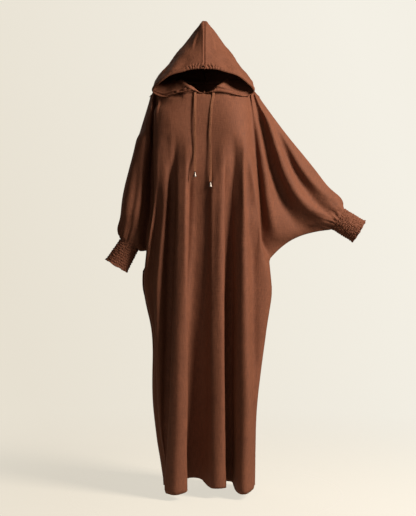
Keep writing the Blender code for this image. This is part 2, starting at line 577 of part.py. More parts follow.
def seam_lines(numbers, skipped, under, top):
    """The panel's four seams as vertex numbers: over and under each sleeve."""
    last = len(top) - 1
    underarm = ROWS_TO_UNDERARM - 1
    on_shoulder = [place for place in range(last + 1) if abs(top[place][0]) >= NECK_HALF_WIDTH - 1e-6]
    lines = []
    for end, outer, inner in ((-1, 0, skipped), (1, last, max(numbers[-1]))):
        shoulder = [numbers[0][place] for place in on_shoulder if top[place][0] * end > 0]
        shoulder = shoulder[::end]
        overarm = [row[outer] for row in numbers[1:ROWS_TO_UNDERARM]]
        side_seam = [row[inner] for row in numbers[:underarm:-1]]
        sleeve = [numbers[underarm][inner + end * step] for step in range(under[end] + 1)]
        lines.append((shoulder + overarm, end))
        lines.append((side_seam + sleeve, -end))
    return lines


def new_object(name, mesh):
    data = bpy.data.meshes.new(name)
    mesh.to_mesh(data)
    mesh.free()
    data.shade_smooth()
    made = bpy.data.objects.new(name, data)
    garment.objects.link(made)
    return made


def thicken(made, thickness, group=None, thin=1.0):
    """Gives an open cloth surface its thickness, towards its inner side."""
    wall = made.modifiers.new("cloth", "SOLIDIFY")
    wall.thickness = thickness
    wall.offset = -1.0
    wall.use_even_offset = False
    if group:
        wall.vertex_group = group
        wall.thickness_vertex_group = thin


def thicken_panel(made, seams):
    """Gives a panel its thickness, with its cut edge square to the cloth at the seams."""
    thicken(made, CLOTH)
    outer = len(made.data.vertices)
    graph = bpy.context.evaluated_depsgraph_get()
    wall = bpy.data.meshes.new_from_object(made.evaluated_get(graph))
    made.modifiers.clear()
    made.data = wall
    for line, turn in seams:
        points = np.array([wall.vertices[number].co for number in line])[:, [0, 2]]
        steps = np.diff(points, axis=0)
        steps /= np.linalg.norm(steps, axis=1)[:, None]
        along = np.vstack((steps[:1], steps[1:] + steps[:-1], steps[-1:]))
        along /= np.linalg.norm(along, axis=1)[:, None]
        for number, (x, z) in zip(line, along):
            inward = Vector((z, 0.0, -x)) * turn
            wall.vertices[outer + number].co = wall.vertices[number].co + inward * CLOTH


def hood_surface(depth_at, end):
    """The hood half's four edges, in metres, for the side at end (-1 or 1)."""
    opening = []
    for kind, x, y, z in HOOD_OPENING:
        if kind == "lip":
            y = (depth_at(x * end * HOOD_SPREAD[end] * CM, z * CM) - LIP_CLEARANCE) / CM
        opening.append((x * end * HOOD_SPREAD[end], y, z))
    opening = np.array(opening) * CM
    brow = np.array([(0.0, y, z) for y, z in HOOD_BROW]) * CM
    back = np.array([(0.0, y, z) for y, z in HOOD_BACK]) * CM

    def neck(share):
        point = neck_point(HOOD_FRONT_ANGLE + (math.pi - HOOD_FRONT_ANGLE) * share)
        outward = np.array((point[0], point[1], 0.0))
        point = point + outward / np.linalg.norm(outward) * NECK_OUT
        return point * np.array((end, 1.0, 1.0)) + np.array((0.0, 0.0, NECK_RAISE))

    def along(points, share):
        knots = chord_knots(points, HOOD_KNOTS)
        return smooth(share * knots[-1], knots, points)

    corner = along(opening, 0.0), along(opening, 1.0), neck(1.0), along(back, 1.0)

    def surface(u, v):
        flat = ((1 - u) * (1 - v) * neck(0.0) + (1 - u) * v * corner[1]
                + u * (1 - v) * neck(1.0) + u * v * corner[3])
        sides = ((1 - u) * along(opening, v) + u * along(back, v)
                 + (1 - v) * neck(u) + v * along(brow, u))
        round_u = u ** HOOD_ROUND_FORE[0] * (1 - u) ** HOOD_ROUND_FORE[1] * HOOD_FULL
        round_v = v ** HOOD_ROUND_UP[0] * (1 - v) ** HOOD_ROUND_UP[1] * HOOD_FULL
        push = np.array((HOOD_BULGE[0] * end, HOOD_BULGE[1], HOOD_BULGE[2])) * CM
        stand = HOOD_STAND * min(1.0, v / HOOD_STAND_END) * (1 - v) * math.sin(math.pi * u)
        return sides - flat + round_u * round_v * push + np.array((0.0, 0.0, stand))

    return surface


def hood_points(surface, end):
    """Rows of the hood half: the casing's lines first, then the cloth to the seam."""
    rows = []
    for v in HOOD_ROWS:
        fine = np.array([surface(u, v) for u in np.linspace(0, 1, 60)])
        knots = chord_knots(fine)
        cells = np.linspace(0.0, 1.0, HOOD_CELLS + 1)[1:] ** HOOD_CELL_GROWTH
        rest = CASING_STEPS[-1] * MM + (knots[-1] - CASING_STEPS[-1] * MM) * cells
        at = np.concatenate((np.array(CASING_STEPS) * MM, rest))
        at = np.insert(at, len(at) - 1, knots[-1] - HOOD_RIDGE)
        rows.append(smooth(at, knots, fine))
    rows = np.array(rows)
    crown = rows[-1].copy()
    crown[-1] = surface(1.0, HOOD_CROWN)
    crown[-2] = rows[-1, -1]
    rows[:-1, -2] = rows[:-1, -1]
    rows = np.insert(rows, len(rows) - 1, crown, axis=0)
    near_peak = np.exp((rows[..., 2] - rows[..., 2].max()) / PEAK_REACH)
    rows[..., 0] *= 1 + PEAK_FULL * near_peak
    ridge = end * (HOOD_RIDGE + PEAK_RIDGE * near_peak)
    rows[:, -2, 0] = ridge[:, -2]
    rows[-2, :, 0] = ridge[-2]
    rows[-1, :, 0] = end * SEAM_GAP / 2
    rows[:, -1, 0] = end * SEAM_GAP / 2
    return rows


def lift_off(mesh, neck, tree):
    """Moves the hood out, a little at a time, until its faces clear the panels."""
    for step in range(LIFT_STEPS):
        for face in mesh.faces:
            if any(vert in neck for vert in face.verts):
                continue
            corners = [vert.co.copy() for vert in face.verts]
            middles = [(a + b) / 2 for a, b in zip(corners, corners[1:] + corners[:1])]
            for point in corners + middles + [face.calc_center_median()]:
                near, normal, index, distance = tree.find_nearest(point)
                lack = HOOD_CLEARANCE - (point - near).dot(normal)
                if lack > 0 and distance < LIFT_REACH:
                    for vert in face.verts:
                        vert.co += normal * lack * LIFT_SHARE


def add_peak(mesh, corners, end):
    """The last cell is folded over the peak, along the line across it."""
    across_line, brow, peak, back = corners
    for face in ((across_line, brow, peak), (across_line, peak, back)):
        mesh.faces.new(face if end < 0 else face[::-1])


def hood_half(name, depth_at, tree, end):
    """One half of the hood, with its casing raised along the opening."""
    rows = hood_points(hood_surface(depth_at, end), end)
    mesh = bmesh.new()
    grid = [[mesh.verts.new(point) for point in row] for row in rows]
    for upper, lower in zip(grid, grid[1:]):
        for place in range(len(upper) - 1):
            corners = [upper[place], lower[place], lower[place + 1], upper[place + 1]]
            if lower is grid[-1] and place == len(upper) - 2:
                add_peak(mesh, corners, end)
            else:
                mesh.faces.new(corners if end < 0 else corners[::-1])
    mesh.normal_update()
    for number, row in enumerate(grid):
        normals = [vert.normal.copy() for vert in row]
        full = CASING_START[min(number, len(CASING_START) - 1)]
        for place, rise in enumerate(CASING_RISE):
            row[place].co += normals[place] * rise * full * MM
    lift_off(mesh, set(grid[0]), tree)
    made = new_object(name, mesh)
    made.vertex_groups.new(name="casing")
    width = len(rows[0])
    for number in range(len(made.data.vertices)):
        if number % width in (1, 2, 3):
            full = CASING_START[min(number // width, len(CASING_START) - 1)]
            made.vertex_groups["casing"].add([number], full, "REPLACE")
    thicken(made, CASING_CLOTH, "casing", CLOTH / CASING_CLOTH)
    return made


def cuff(name, end):
    """A shirred cuff: gathers raised outside between stitched rows, plain inside."""
    steps = CUFF_GATHERS * 2
    mesh = bmesh.new()
    outer = []
    levels = np.linspace(0.0, 1.0, CUFF_ROWS * 2 + 1)
    start = cuff_axes(end)[2] * SEAM_GAP
    for number, level in enumerate(levels):
        ring = []
        stitched = number % 2 == 0
        for step in range(steps):
            angle = 360.0 * step / steps
            rise = CUFF_RIB * (1.0 if step % 2 else 0.0) * (CUFF_STITCHED if stitched else 1.0)
            rise += 0.0 if stitched else CUFF_PUFF
            point = cuff_ring(end, angle, -1, level, rise) + start
            ring.append(mesh.verts.new(point))
        outer.append(ring)
    inner = []
    for level in (0.0, 1.0):
        ring = []
        for step in range(steps):
            point = cuff_ring(end, 360.0 * step / steps, -1, level, -CUFF_CLOTH) + start
            ring.append(mesh.verts.new(point))
        inner.append(ring)
    rings = outer + inner[::-1]
    for ring, following in zip(rings, rings[1:] + rings[:1]):
        for step in range(steps):
            after = (step + 1) % steps
            mesh.faces.new((ring[step], ring[after], following[after], following[step]))
    bmesh.ops.recalc_face_normals(mesh, faces=mesh.faces)
    return new_object(name, mesh)


def tie(name, route):
    """A flat tie: a band with rounded edges along a smooth route."""
    points = np.array(route) * CM
    knots = chord_knots(points)
    centres = smooth(np.linspace(0, knots[-1], TIE_POINTS), knots, points)
    curve = bpy.data.curves.new(name, "CURVE")
    curve.dimensions = "3D"
    curve.twist_mode = "MINIMUM"
    curve.extrude = TIE_WIDTH / 2 - TIE_THICKNESS / 2
    curve.bevel_depth = TIE_THICKNESS / 2
    curve.bevel_resolution = 2
    curve.use_fill_caps = True
    spline = curve.splines.new("POLY")
    spline.points.add(len(centres) - 1)
    for point, centre in zip(spline.points, centres):
        point.co = (*centre, 1.0)
        point.tilt = TIE_TURN
    made = bpy.data.objects.new(name, curve)
    garment.objects.link(made)
    return made, centres[-1]


def bell(name, top):
    """A turned metal end, narrow where the tie enters it and flared below."""
    mesh = bmesh.new()
    verts = [mesh.verts.new((radius * MM, 0.0, height * MM)) for radius, height in BELL]
    for first, second in zip(verts, verts[1:]):
        mesh.edges.new((first, second))
    made = new_object(name, mesh)
    made.location = Vector(top) - Vector((0.0, 0.0, SEAM_GAP))
    turn = made.modifiers.new("turn", "SCREW")
    turn.steps = BELL_SIDES
    turn.render_steps = BELL_SIDES
    turn.use_merge_vertices = True
    turn.merge_threshold = 0.00005
    return made


def material(name, colour, roughness, metallic):
    made = bpy.data.materials.new(name)
    made.use_nodes = True
    shader = made.node_tree.nodes["Principled BSDF"]
    shader.inputs["Base Color"].default_value = colour
    shader.inputs["Roughness"].default_value = roughness
    shader.inputs["Metallic"].default_value = metallic
    return made


for old in list(bpy.data.objects):
    bpy.data.objects.remove(old)
garment = bpy.data.collections.new("hooded_abaya")
bpy.context.scene.collection.children.link(garment)

# Front and back, each with its halves of both sleeves.
front_rows = panel_rows(FRONT_FOLDS, RIGHT_SLEEVE_FRONT, LEFT_SLEEVE_FRONT, -1)
front, front_seams = panel_mesh("front", *front_rows, -1)
back_rows = panel_rows(BACK_FOLDS, RIGHT_SLEEVE_BACK, LEFT_SLEEVE_BACK, 1)
back, back_seams = panel_mesh("back", *back_rows, 1)


def surface_tree(panels):
    """A search tree over the outer surfaces of the panels."""
    points = []
    faces = []
    for panel in panels:
        first = len(points)
        points += [vert.co.copy() for vert in panel.data.vertices]
        faces += [tuple(first + vert for vert in face.vertices) for face in panel.data.polygons]
    return BVHTree.FromPolygons(points, faces)


chest_tree = surface_tree([front])
shoulder_tree = surface_tree([front, back])


def chest_depth(x, z):
    """The front's outer surface, in y, at a place seen from the front."""
    hit = chest_tree.ray_cast(Vector((x, -1.0, z)), Vector((0.0, 1.0, 0.0)))
    return hit[0].y


thicken_panel(front, front_seams)
thicken_panel(back, back_seams)

hoods = [hood_half("hood_right", chest_depth, shoulder_tree, -1),
         hood_half("hood_left", chest_depth, shoulder_tree, 1)]
cuffs = [cuff("cuff_right", -1), cuff("cuff_left", 1)]
ties = []
bells = []
for tie_name, tie_route in TIE_ROUTES.items():
    tie_object, tie_end = tie(tie_name, tie_route)
    ties.append(tie_object)
    bells.append(bell(tie_name.replace("drawstring", "cord_end"), tie_end))

for cloth_object in [front, back] + hoods + cuffs + ties:
    cloth = material(cloth_object.name + "_crepe", CLOTH_COLOUR, 0.85, 0.0)
    cloth_object.data.materials.append(cloth)
for bell_object in bells:
    bell_object.data.materials.append(material(bell_object.name + "_metal", METAL_COLOUR, 0.35, 1.0))
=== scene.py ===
"""Hooded abaya, as worn: the cloth, the shirred cuffs, the drawstring and its metal ends.

Metres, +Z up, the front towards -Y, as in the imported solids. Left and right in the
names are the wearer's own, so the right sleeve is at -X. Tables are in centimetres.
"""
import math

import bmesh
import bpy
import numpy as np
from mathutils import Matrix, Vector, noise
from mathutils.kdtree import KDTree


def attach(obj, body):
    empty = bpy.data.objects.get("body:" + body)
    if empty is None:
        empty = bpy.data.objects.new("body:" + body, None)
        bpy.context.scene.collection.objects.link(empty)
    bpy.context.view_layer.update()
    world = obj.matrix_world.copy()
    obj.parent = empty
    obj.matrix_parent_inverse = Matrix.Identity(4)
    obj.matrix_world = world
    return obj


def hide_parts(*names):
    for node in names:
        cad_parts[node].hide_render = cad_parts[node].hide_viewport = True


CM = 0.01
MM = 0.001

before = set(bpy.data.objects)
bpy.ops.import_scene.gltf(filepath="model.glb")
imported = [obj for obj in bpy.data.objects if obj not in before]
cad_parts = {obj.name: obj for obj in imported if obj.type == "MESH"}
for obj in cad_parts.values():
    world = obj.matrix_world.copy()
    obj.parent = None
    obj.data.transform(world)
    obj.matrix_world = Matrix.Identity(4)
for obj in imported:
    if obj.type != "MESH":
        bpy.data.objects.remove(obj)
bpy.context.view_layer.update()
for imported in bpy.context.selected_objects:
    imported.select_set(False)

# The camera stands 4 m in front of the garment, level with its middle.
CAMERA_PLACE = (0.0128, -4.0, -0.605)
CAMERA_LENS = 76.1
FLOOR = -1.462

# The drawstring: a flat tie of the same cloth, its route repeated from the solids.
TIE_WIDTH = 9.0 * MM
TIE_THICKNESS = 2.4 * MM
TIE_ROUTES = {
    "drawstring_right": ((-3.3, -9.95, -1.23), (-3.3, -11.15, -4.5), (-3.35, -12.1, -8.0),
                         (-3.4, -12.75, -12.0), (-3.4, -13.2, -18.0), (-3.4, -13.5, -24.0),
                         (-3.35, -13.9, -30.0)),
    "drawstring_left": ((3.2, -9.97, -1.28), (3.2, -10.45, -2.7), (2.8, -11.15, -4.5),
                        (2.4, -12.05, -8.0), (2.15, -12.7, -12.0), (1.95, -13.15, -18.0),
                        (2.2, -13.25, -25.0), (2.1, -13.25, -33.6)),
}
TIE_ENDS = {"drawstring_right": "cord_end_right", "drawstring_left": "cord_end_left"}
# Rings along a tie, points round it, and the cloth all round it.
TIE_ROWS = 72
TIE_SECTION = 20
TIE_GIRTH = 20.0 * MM
# Powers that square its section, and how deep and wide its middle is pressed, as shares.
TIE_EDGE_POWER = 0.75
TIE_FACE_POWER = 0.45
TIE_HOLLOW = 0.28
TIE_HOLLOW_WIDTH = 0.55
PATH_STEPS = 40
# How far each tie turns about its own length, in degrees, at eight even places.
TIE_TWIST = {
    "drawstring_right": (0, 4, 10, 15, 17, 15, 9, 0),
    "drawstring_left": (0, 8, 14, 12, 16, 13, 8, 0),
}

CLOTH = 1.2 * MM
CUFF_CLOTH = 1.4 * MM
WELD = 0.05 * MM
# Edges of one outer side turn less than this, in degrees: the body's, then the hood's.
BODY_SHARP = 48
HOOD_SHARP = 40
# Triangles join to four-sided faces up to this angle, in degrees.
QUAD_ANGLE = 60
# Shares of the way back to the coarse points in each round of evening.
HOLD_SHARES = (0.9, 0.7)
# How far a point goes to its neighbours' middle in one round of calming.
CALM_STEP = 0.5
# Holes of at most this many sides are closed.
SMALL_HOLE = 10

# Creases, one row each: name, height on the viewer's left of the line and how wide it
# runs out, the same on the right, how soft the step between them is (millimetres, down
# into the cloth is negative), the shares of its length over which it fades in and out,
# then the line itself, from the top down, in x and z.
FRONT_CREASES = (
    ("ridge ease", -5, 13, -5, 13, 6, 0.25, 0.35, ((-12.7, -15), (-13.3, -26), (-13.8, -40))),
    ("chest side", 15, 20, 15, 36, 10, 0.1, 0.5,
     ((-16.2, -4), (-16.2, -14), (-16.0, -26), (-16.0, -38), (-16.2, -46))),
    ("side ridge", 2, 12, 2, 12, 6, 0.3, 0.3,
     ((-15.9, -34), (-16.3, -44), (-16.8, -57.7), (-17.6, -72), (-18.6, -82.5))),
    ("gap hollow", -6, 9, -6, 8, 4, 0.25, 0.3,
     ((-19.2, -8), (-18.8, -20), (-18.8, -32), (-19.2, -44), (-19.8, -54))),
    ("valley 1", -14, 15, -12, 12, 5, 0.13, 0.1,
     ((-12.6, -21), (-12.1, -28), (-11.5, -35), (-11.5, -42), (-11.9, -57.7), (-12.4, -75.4),
      (-12.9, -93), (-13.6, -111), (-14.3, -128.7), (-14.8, -142))),
    ("flute a left", -4, 12, 12, 20, 4, 0.14, 0.0,
     ((-10.7, -21), (-10.0, -28), (-9.4, -35), (-9.3, -42), (-9.8, -57.7), (-10.4, -75.4),
      (-11.1, -93), (-11.8, -111), (-12.7, -128.7), (-13.6, -143))),
    ("flute a right", 4, 22, -20, 33, 5, 0.14, 0.0,
     ((-5.7, -22), (-5.9, -40), (-6.0, -57.7), (-5.8, -75.4), (-5.5, -93), (-5.5, -111),
      (-5.8, -128.7), (-5.8, -143))),
    ("valley a", -9, 11, -9, 17, 6, 0.25, 0.4,
     ((-4.4, -24), (-4.3, -40), (-4.2, -58), (-4.1, -76), (-4.0, -86))),
    ("flute b face", 19, 24, 19, 22, 8, 0.14, 0.0,
     ((3.5, -24), (3.5, -40), (3.5, -58), (3.5, -75), (3.6, -93), (3.9, -111), (4.2, -129),
      (4.4, -143))),
    ("flute b right", 1, 15, -19, 20, 3, 0.14, 0.0,
     ((7.3, -22), (7.3, -40), (7.3, -57.7), (7.2, -75.4), (7.3, -93), (7.5, -111),
      (7.9, -128.7), (8.0, -143))),
    ("valley bc", -5, 16, -4, 18, 6, 0.14, 0.1,
     ((8.9, -22), (9.1, -40), (9.7, -57.7), (9.7, -75), (9.4, -93), (9.1, -110), (8.9, -128.7),
      (8.9, -142))),
    ("flute c face", 13, 20, 13, 20, 6, 0.14, 0.0,
     ((9.9, -22), (10.3, -40), (11.9, -58), (12.7, -75), (12.8, -93), (12.9, -111),
      (13.2, -129), (13.3, -143))),
    ("flute c right", 2, 16, -7, 12, 4, 0.14, 0.0,
     ((14.2, -22), (14.8, -40), (15.7, -57.7), (16.0, -75.4), (16.3, -93), (16.9, -111),
      (17.6, -128.7), (17.7, -143))),
    ("hip trough", -11, 9, -11, 9, 4, 0.15, 0.2,
     ((15.1, -22), (15.7, -32), (16.4, -43), (17.7, -57.7), (18.2, -75), (18.2, -93), (18.4, -106))),
    ("body edge", 4, 12, 0, 12, 5, 0.25, 0.15,
     ((16.2, -21.4), (16.8, -25), (17.8, -34), (18.8, -41.3), (20.3, -52.2), (22.3, -61.2))),
    ("wing ridge 1", 11, 14, 11, 14, 4, 0.2, 0.3,
     ((18.9, -6), (19.6, -14.2), (20.6, -21.4), (21.8, -30.4), (22.8, -39.5), (24.2, -48.5),
      (26, -55.8))),
    ("trough 2", -11, 19, -11, 17, 6, 0.15, 0.3,
     ((19.2, -4), (20.6, -12.3), (22.7, -21.4), (25.2, -28.6), (28.2, -35.9), (30.8, -43.1),
      (33.6, -48.5), (37.6, -51.0))),
    ("wing ridge 2", 6, 14, 6, 14, 5, 0.15, 0.1,
     ((20.5, -4.7), (22.3, -10.5), (25.2, -17.8), (28.1, -25), (31, -32.3), (34.2, -38.6),
      (38.0, -43.0), (43.2, -45.4), (46.9, -46.4))),
    ("trough 3", -8, 14, -8, 13, 5, 0.3, 0.0,
     ((24.5, -10.5), (27.6, -17.8), (30.2, -23.2), (33.4, -29.4), (36.8, -35.2), (40.6, -40.2),
      (45.2, -43.8), (48.0, -44.8))),
    ("wing ridge 3", 3, 10, 3, 10, 4, 0.3, 0.1,
     ((30.4, -21.4), (35.7, -28.6), (40.4, -34.1), (44.2, -38), (47.0, -40.6))),
    ("underarm rise", 7, 12, 7, 10, 4, 0.3, 0.2, ((37.2, -48.8), (41.0, -47.6), (45.4, -47.0))),
    ("sleeve face", 15, 22, 15, 32, 8, 0.15, 0.2,
     ((-21.6, -13), (-23.4, -21), (-25.6, -31), (-27.2, -40), (-28.8, -50))),
    ("sleeve ridge", 4, 12, 4, 10, 4, 0.2, 0.1,
     ((-20.1, -5.1), (-20.8, -17.8), (-22.6, -28.6), (-23.7, -35.9), (-24.8, -43.1),
      (-26.6, -48.5), (-28.1, -53.2))),
    ("sleeve trough", -6, 10, -6, 9, 4, 0.4, 0.0,
     ((-22.6, -24), (-24.2, -34), (-25.4, -41.3), (-27.0, -48.5), (-28.4, -54.5))),
    ("sleeve inner trough", -4, 10, -4, 10, 4, 0.3, 0.1,
     ((-19.6, -14), (-20.9, -30), (-22.2, -42), (-23.6, -52))),
)
BACK_CREASES = (
    ("crest 1", 5, 22, -8, 20, 7, 0.4, 0.0,
     ((-9.6, -22), (-10.2, -42), (-10.4, -72), (-10.2, -100), (-9.8, -143))),
    ("valley 12", -6, 18, -6, 18, 6, 0.4, 0.1,
     ((-6.2, -26), (-6.3, -50), (-6.6, -80), (-6.3, -110), (-6.0, -142))),
    ("crest 2", 6, 24, -8, 22, 8, 0.4, 0.0,
     ((0.4, -22), (0.2, -42), (0.0, -72), (0.1, -100), (0.3, -143))),
    ("valley 23", -6, 18, -6, 18, 6, 0.4, 0.1,
     ((4.2, -26), (4.4, -50), (4.6, -80), (4.9, -110), (4.9, -142))),
    ("crest 3", 5, 22, -7, 18, 7, 0.4, 0.0,
     ((9.2, -22), (9.8, -42), (10.6, -72), (10.6, -100), (10.6, -143))),
    ("crest 4", 4, 16, 4, 16, 6, 0.4, 0.1,
     ((15.2, -24), (16.8, -42), (19.0, -72), (18.2, -100), (16.6, -140))),
    ("side crest", 4, 16, 4, 16, 6, 0.4, 0.1,
     ((-16.6, -24), (-17.6, -42), (-19.8, -72), (-18.0, -100), (-16.4, -140))),
    ("wing trough", -7, 18, -7, 16, 6, 0.15, 0.3,
     ((19.7, -4), (21.6, -14), (24.4, -24), (28.0, -33), (32.4, -42), (37.5, -49))),
    ("wing ridge", 5, 14, 5, 14, 5, 0.15, 0.1,
     ((20.5, -4.7), (24.4, -14), (28.8, -24.6), (33.6, -34.6), (40, -42.0), (46.9, -46))),
    ("wing trough 2", -6, 12, -6, 12, 5, 0.3, 0.0,
     ((26.5, -11.5), (31.2, -21.0), (36.4, -30.6), (42.0, -38.6), (48.2, -43.9))),
    ("sleeve ridge", 4, 12, 4, 10, 4, 0.2, 0.1,
     ((-20.3, -6), (-21.4, -19), (-23.0, -31), (-24.6, -43), (-27.0, -52.6))),
    ("sleeve trough", -6, 10, -6, 9, 4, 0.4, 0.0,
     ((-22.8, -23), (-24.6, -34), (-26.0, -43.3), (-28.6, -54.2))),
)
# Sharper pleats where the raised sleeve is drawn into its cuff, front and back alike.
CUFF_PLEATS = (
    ("pleat 1", -5, 5, 4, 6, 2, 0.6, 0.0, ((45.4, -37.4), (47.6, -40.4), (49.6, -43.6))),
    ("pleat 2", -5, 5, 4, 6, 2, 0.6, 0.0, ((44.4, -39.8), (46.4, -42.2), (48.4, -44.6))),
    ("pleat 3", -5, 5, 4, 6, 2, 0.6, 0.0, ((42.6, -42.2), (45.0, -44.0), (47.4, -46.0))),
)


def linear(code):
    """An sRGB hex colour as the linear colour that a node takes."""
    parts = [int(code[place:place + 2], 16) / 255 for place in (1, 3, 5)]
    return (*(part / 12.92 if part <= 0.04045 else ((part + 0.055) / 1.055) ** 2.4
              for part in parts), 1.0)


def set_inputs(node, **values):
    """Sets sockets of a node, or links those whose value is another node's output; an
    underscore in a name stands for a space.
    """
    for name, value in values.items():
        socket = node.inputs[name.replace("_", " ")]
        if isinstance(value, bpy.types.NodeSocket):
            node.id_data.links.new(value, socket)
        else:
            socket.default_value = value


def add_node(tree, kind, links=None, **settings):
    """Adds a node; settings name its properties or sockets, links the sockets it reads."""
    made = tree.nodes.new(kind)
    for name, value in settings.items():
        if hasattr(made, name) and name not in made.inputs:
            setattr(made, name, value)
        else:
            set_inputs(made, **{name: value})
    for name, source in (links or {}).items():
        tree.links.new(source, made.inputs[name])
    return made


def new_material(name):
    """An empty material with its surface shader, and the tree to add to."""
    made = bpy.data.materials.new(name)
    made.use_nodes = True
    tree = made.node_tree
    shader = next(node for node in tree.nodes if node.type == "BSDF_PRINCIPLED")
    return made, tree, shader


def pick(piece):
    bpy.ops.object.select_all(action="DESELECT")
    piece.select_set(True)
    bpy.context.view_layer.objects.active = piece


def edit(piece, mode="FACE"):
    """Opens one object alone in edit mode with nothing selected."""
    pick(piece)
    bpy.ops.object.mode_set(mode="EDIT")
    bpy.ops.mesh.select_mode(type=mode)
    bpy.ops.mesh.select_all(action="DESELECT")


def leave_edit():
    bpy.ops.object.mode_set(mode="OBJECT")


def apply_all(piece):
    """Applies the modifiers of one object in their order."""
    pick(piece)
    for modifier in list(piece.modifiers):
        bpy.ops.object.modifier_apply(modifier=modifier.name)


def new_piece(name, data):
    made = bpy.data.objects.new(name, data)
    bpy.context.scene.collection.objects.link(made)
    return made


def mesh_piece(name, mesh):
    """A piece of the mesh that was built for it."""
    data = bpy.data.meshes.new(name)
    mesh.to_mesh(data)
    mesh.free()
    return new_piece(name, data)


def join_rings(mesh, rings, girth, spacing):
    """Joins rings of points to a tube and lays it flat, as wide as the cloth round it."""
    cloth = mesh.loops.layers.uv.new("cloth")
    count = len(rings[0])
    for row, (upper, lower) in enumerate(zip(rings, rings[1:])):
        for step in range(count):
            after = (step + 1) % count
            face = mesh.faces.new((upper[step], lower[step], lower[after], upper[after]))
            corners = ((step, row), (step, row + 1), (step + 1, row + 1), (step + 1, row))
            for loop, (round_it, down) in zip(face.loops, corners):
                loop[cloth].uv = (round_it / count * girth, down * spacing)


def finish_piece(piece, node, material):
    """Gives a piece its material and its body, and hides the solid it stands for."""
    piece.data.materials.clear()
    piece.data.materials.append(material)
    for face in piece.data.polygons:
        face.use_smooth = True
    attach(piece, "root")
    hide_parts(node)


# Camera

camera_data = bpy.data.cameras.new("front view")
camera_data.lens = CAMERA_LENS
camera_data.sensor_width = 36.0
camera = bpy.data.objects.new("front view", camera_data)
camera.location = CAMERA_PLACE
camera.rotation_euler = (math.radians(90), 0.0, 0.0)
bpy.context.scene.collection.objects.link(camera)
bpy.context.scene.camera = camera


# Materials

# The twill's slant in degrees. At a scale of 1 the wave texture's bands are 0.314 apart.
TWILL_TURN = 52
WAVE_SPACING = 0.314
# Thick places in the weft, thick places in the warp, and slack places: how wide and how
# long, in millimetres, a turn in degrees that follows the stretch, detail and roughness.
STREAKS = ((24.0, 2.4, 0, 2.5, 0.6), (2.4, 34.0, 0, 2.5, 0.6), (60, 6, 38, 2.0, 0.5))
CRINKLE_SIZE = 11 * MM
SHADE_SIZE = 90 * MM


def crepe(name, dark, light, thread=0.9, sheen=0.22):
    """Polyester linen-look crepe: brown, matt, with uneven threads and a soft light on
    turned edges.

    thread is the twill's spacing in millimetres. The real one is about 0.4 mm, too
    fine to show, so it is drawn at nearly twice that or more. The thick places in the
    threads are about 1 mm wide and 12 mm long, and are drawn two to three times that.
    """
    made, tree, shader = new_material(name)
    cloth = add_node(tree, "ShaderNodeTexCoord").outputs["UV"]
    slanted = add_node(tree, "ShaderNodeMapping", {"Vector": cloth},
                       Rotation=(0.0, 0.0, math.radians(TWILL_TURN)))
    twill = add_node(tree, "ShaderNodeTexWave", {"Vector": slanted.outputs["Vector"]},
                     wave_type="BANDS", Scale=WAVE_SPACING / (thread * MM), Distortion=1.6,
                     Detail=2.0, Detail_Scale=1.5)
    streaks = []
    for wide, long, turn, detail, rough in STREAKS:
        stretched = add_node(tree, "ShaderNodeMapping", {"Vector": cloth},
                             Rotation=(0.0, 0.0, math.radians(turn)),
                             Scale=(1 / (wide * MM), 1 / (long * MM), 1.0))
        streak = add_node(tree, "ShaderNodeTexNoise", {"Vector": stretched.outputs["Vector"]},
                          Scale=1.0, Detail=detail, Roughness=rough)
        streaks.append(streak.outputs["Fac"])
    weft, warp, slack = streaks
    crossed = add_node(tree, "ShaderNodeMix", {2: weft, 3: warp}, data_type="FLOAT", Factor=0.62)
    small = add_node(tree, "ShaderNodeTexNoise", {"Vector": cloth}, Scale=1.0 / CRINKLE_SIZE,
                     Detail=3.0, Roughness=0.55, Distortion=0.4)
    crinkle = add_node(tree, "ShaderNodeMix", {2: small.outputs["Fac"], 3: slack},
                       data_type="FLOAT", Factor=0.5)
    shade = add_node(tree, "ShaderNodeTexNoise", {"Vector": cloth}, Scale=1.0 / SHADE_SIZE,
                     Detail=2.0)
    threads = add_node(tree, "ShaderNodeMapRange", {"Value": crossed.outputs[0]},
                       From_Min=0.34, From_Max=0.66)
    surface = add_node(tree, "ShaderNodeMix", {2: threads.outputs["Result"],
                                               3: twill.outputs["Fac"]},
                       data_type="FLOAT", Factor=0.3)
    colours = add_node(tree, "ShaderNodeValToRGB", {"Fac": surface.outputs[0]})
    colours.color_ramp.elements[0].position = 0.15
    colours.color_ramp.elements[0].color = linear(dark)
    colours.color_ramp.elements[1].position = 0.85
    colours.color_ramp.elements[1].color = linear(light)
    tone = add_node(tree, "ShaderNodeMapRange", {"Value": shade.outputs["Fac"]},
                    From_Min=0.3, From_Max=0.7, To_Min=0.94, To_Max=1.05)
    toned = add_node(tree, "ShaderNodeHueSaturation", {"Color": colours.outputs["Color"],
                                                       "Value": tone.outputs["Result"]})
    rough = add_node(tree, "ShaderNodeMapRange", {"Value": threads.outputs["Result"]},
                     To_Min=0.66, To_Max=0.86)
    soft = add_node(tree, "ShaderNodeBump", {"Height": crinkle.outputs[0]},
                    Distance=1.6 * MM, Strength=0.6)
    fine = add_node(tree, "ShaderNodeBump", {"Height": surface.outputs[0],
                                             "Normal": soft.outputs["Normal"]},
                    Distance=0.5 * MM, Strength=0.7)
    set_inputs(shader, Base_Color=toned.outputs["Color"], Roughness=rough.outputs["Result"],
               Normal=fine.outputs["Normal"], IOR=1.5, Specular_IOR_Level=0.22,
               Sheen_Weight=sheen, Sheen_Roughness=0.42, Sheen_Tint=linear("#C9875F"))
    return made


PIT_SIZE = 0.8 * MM


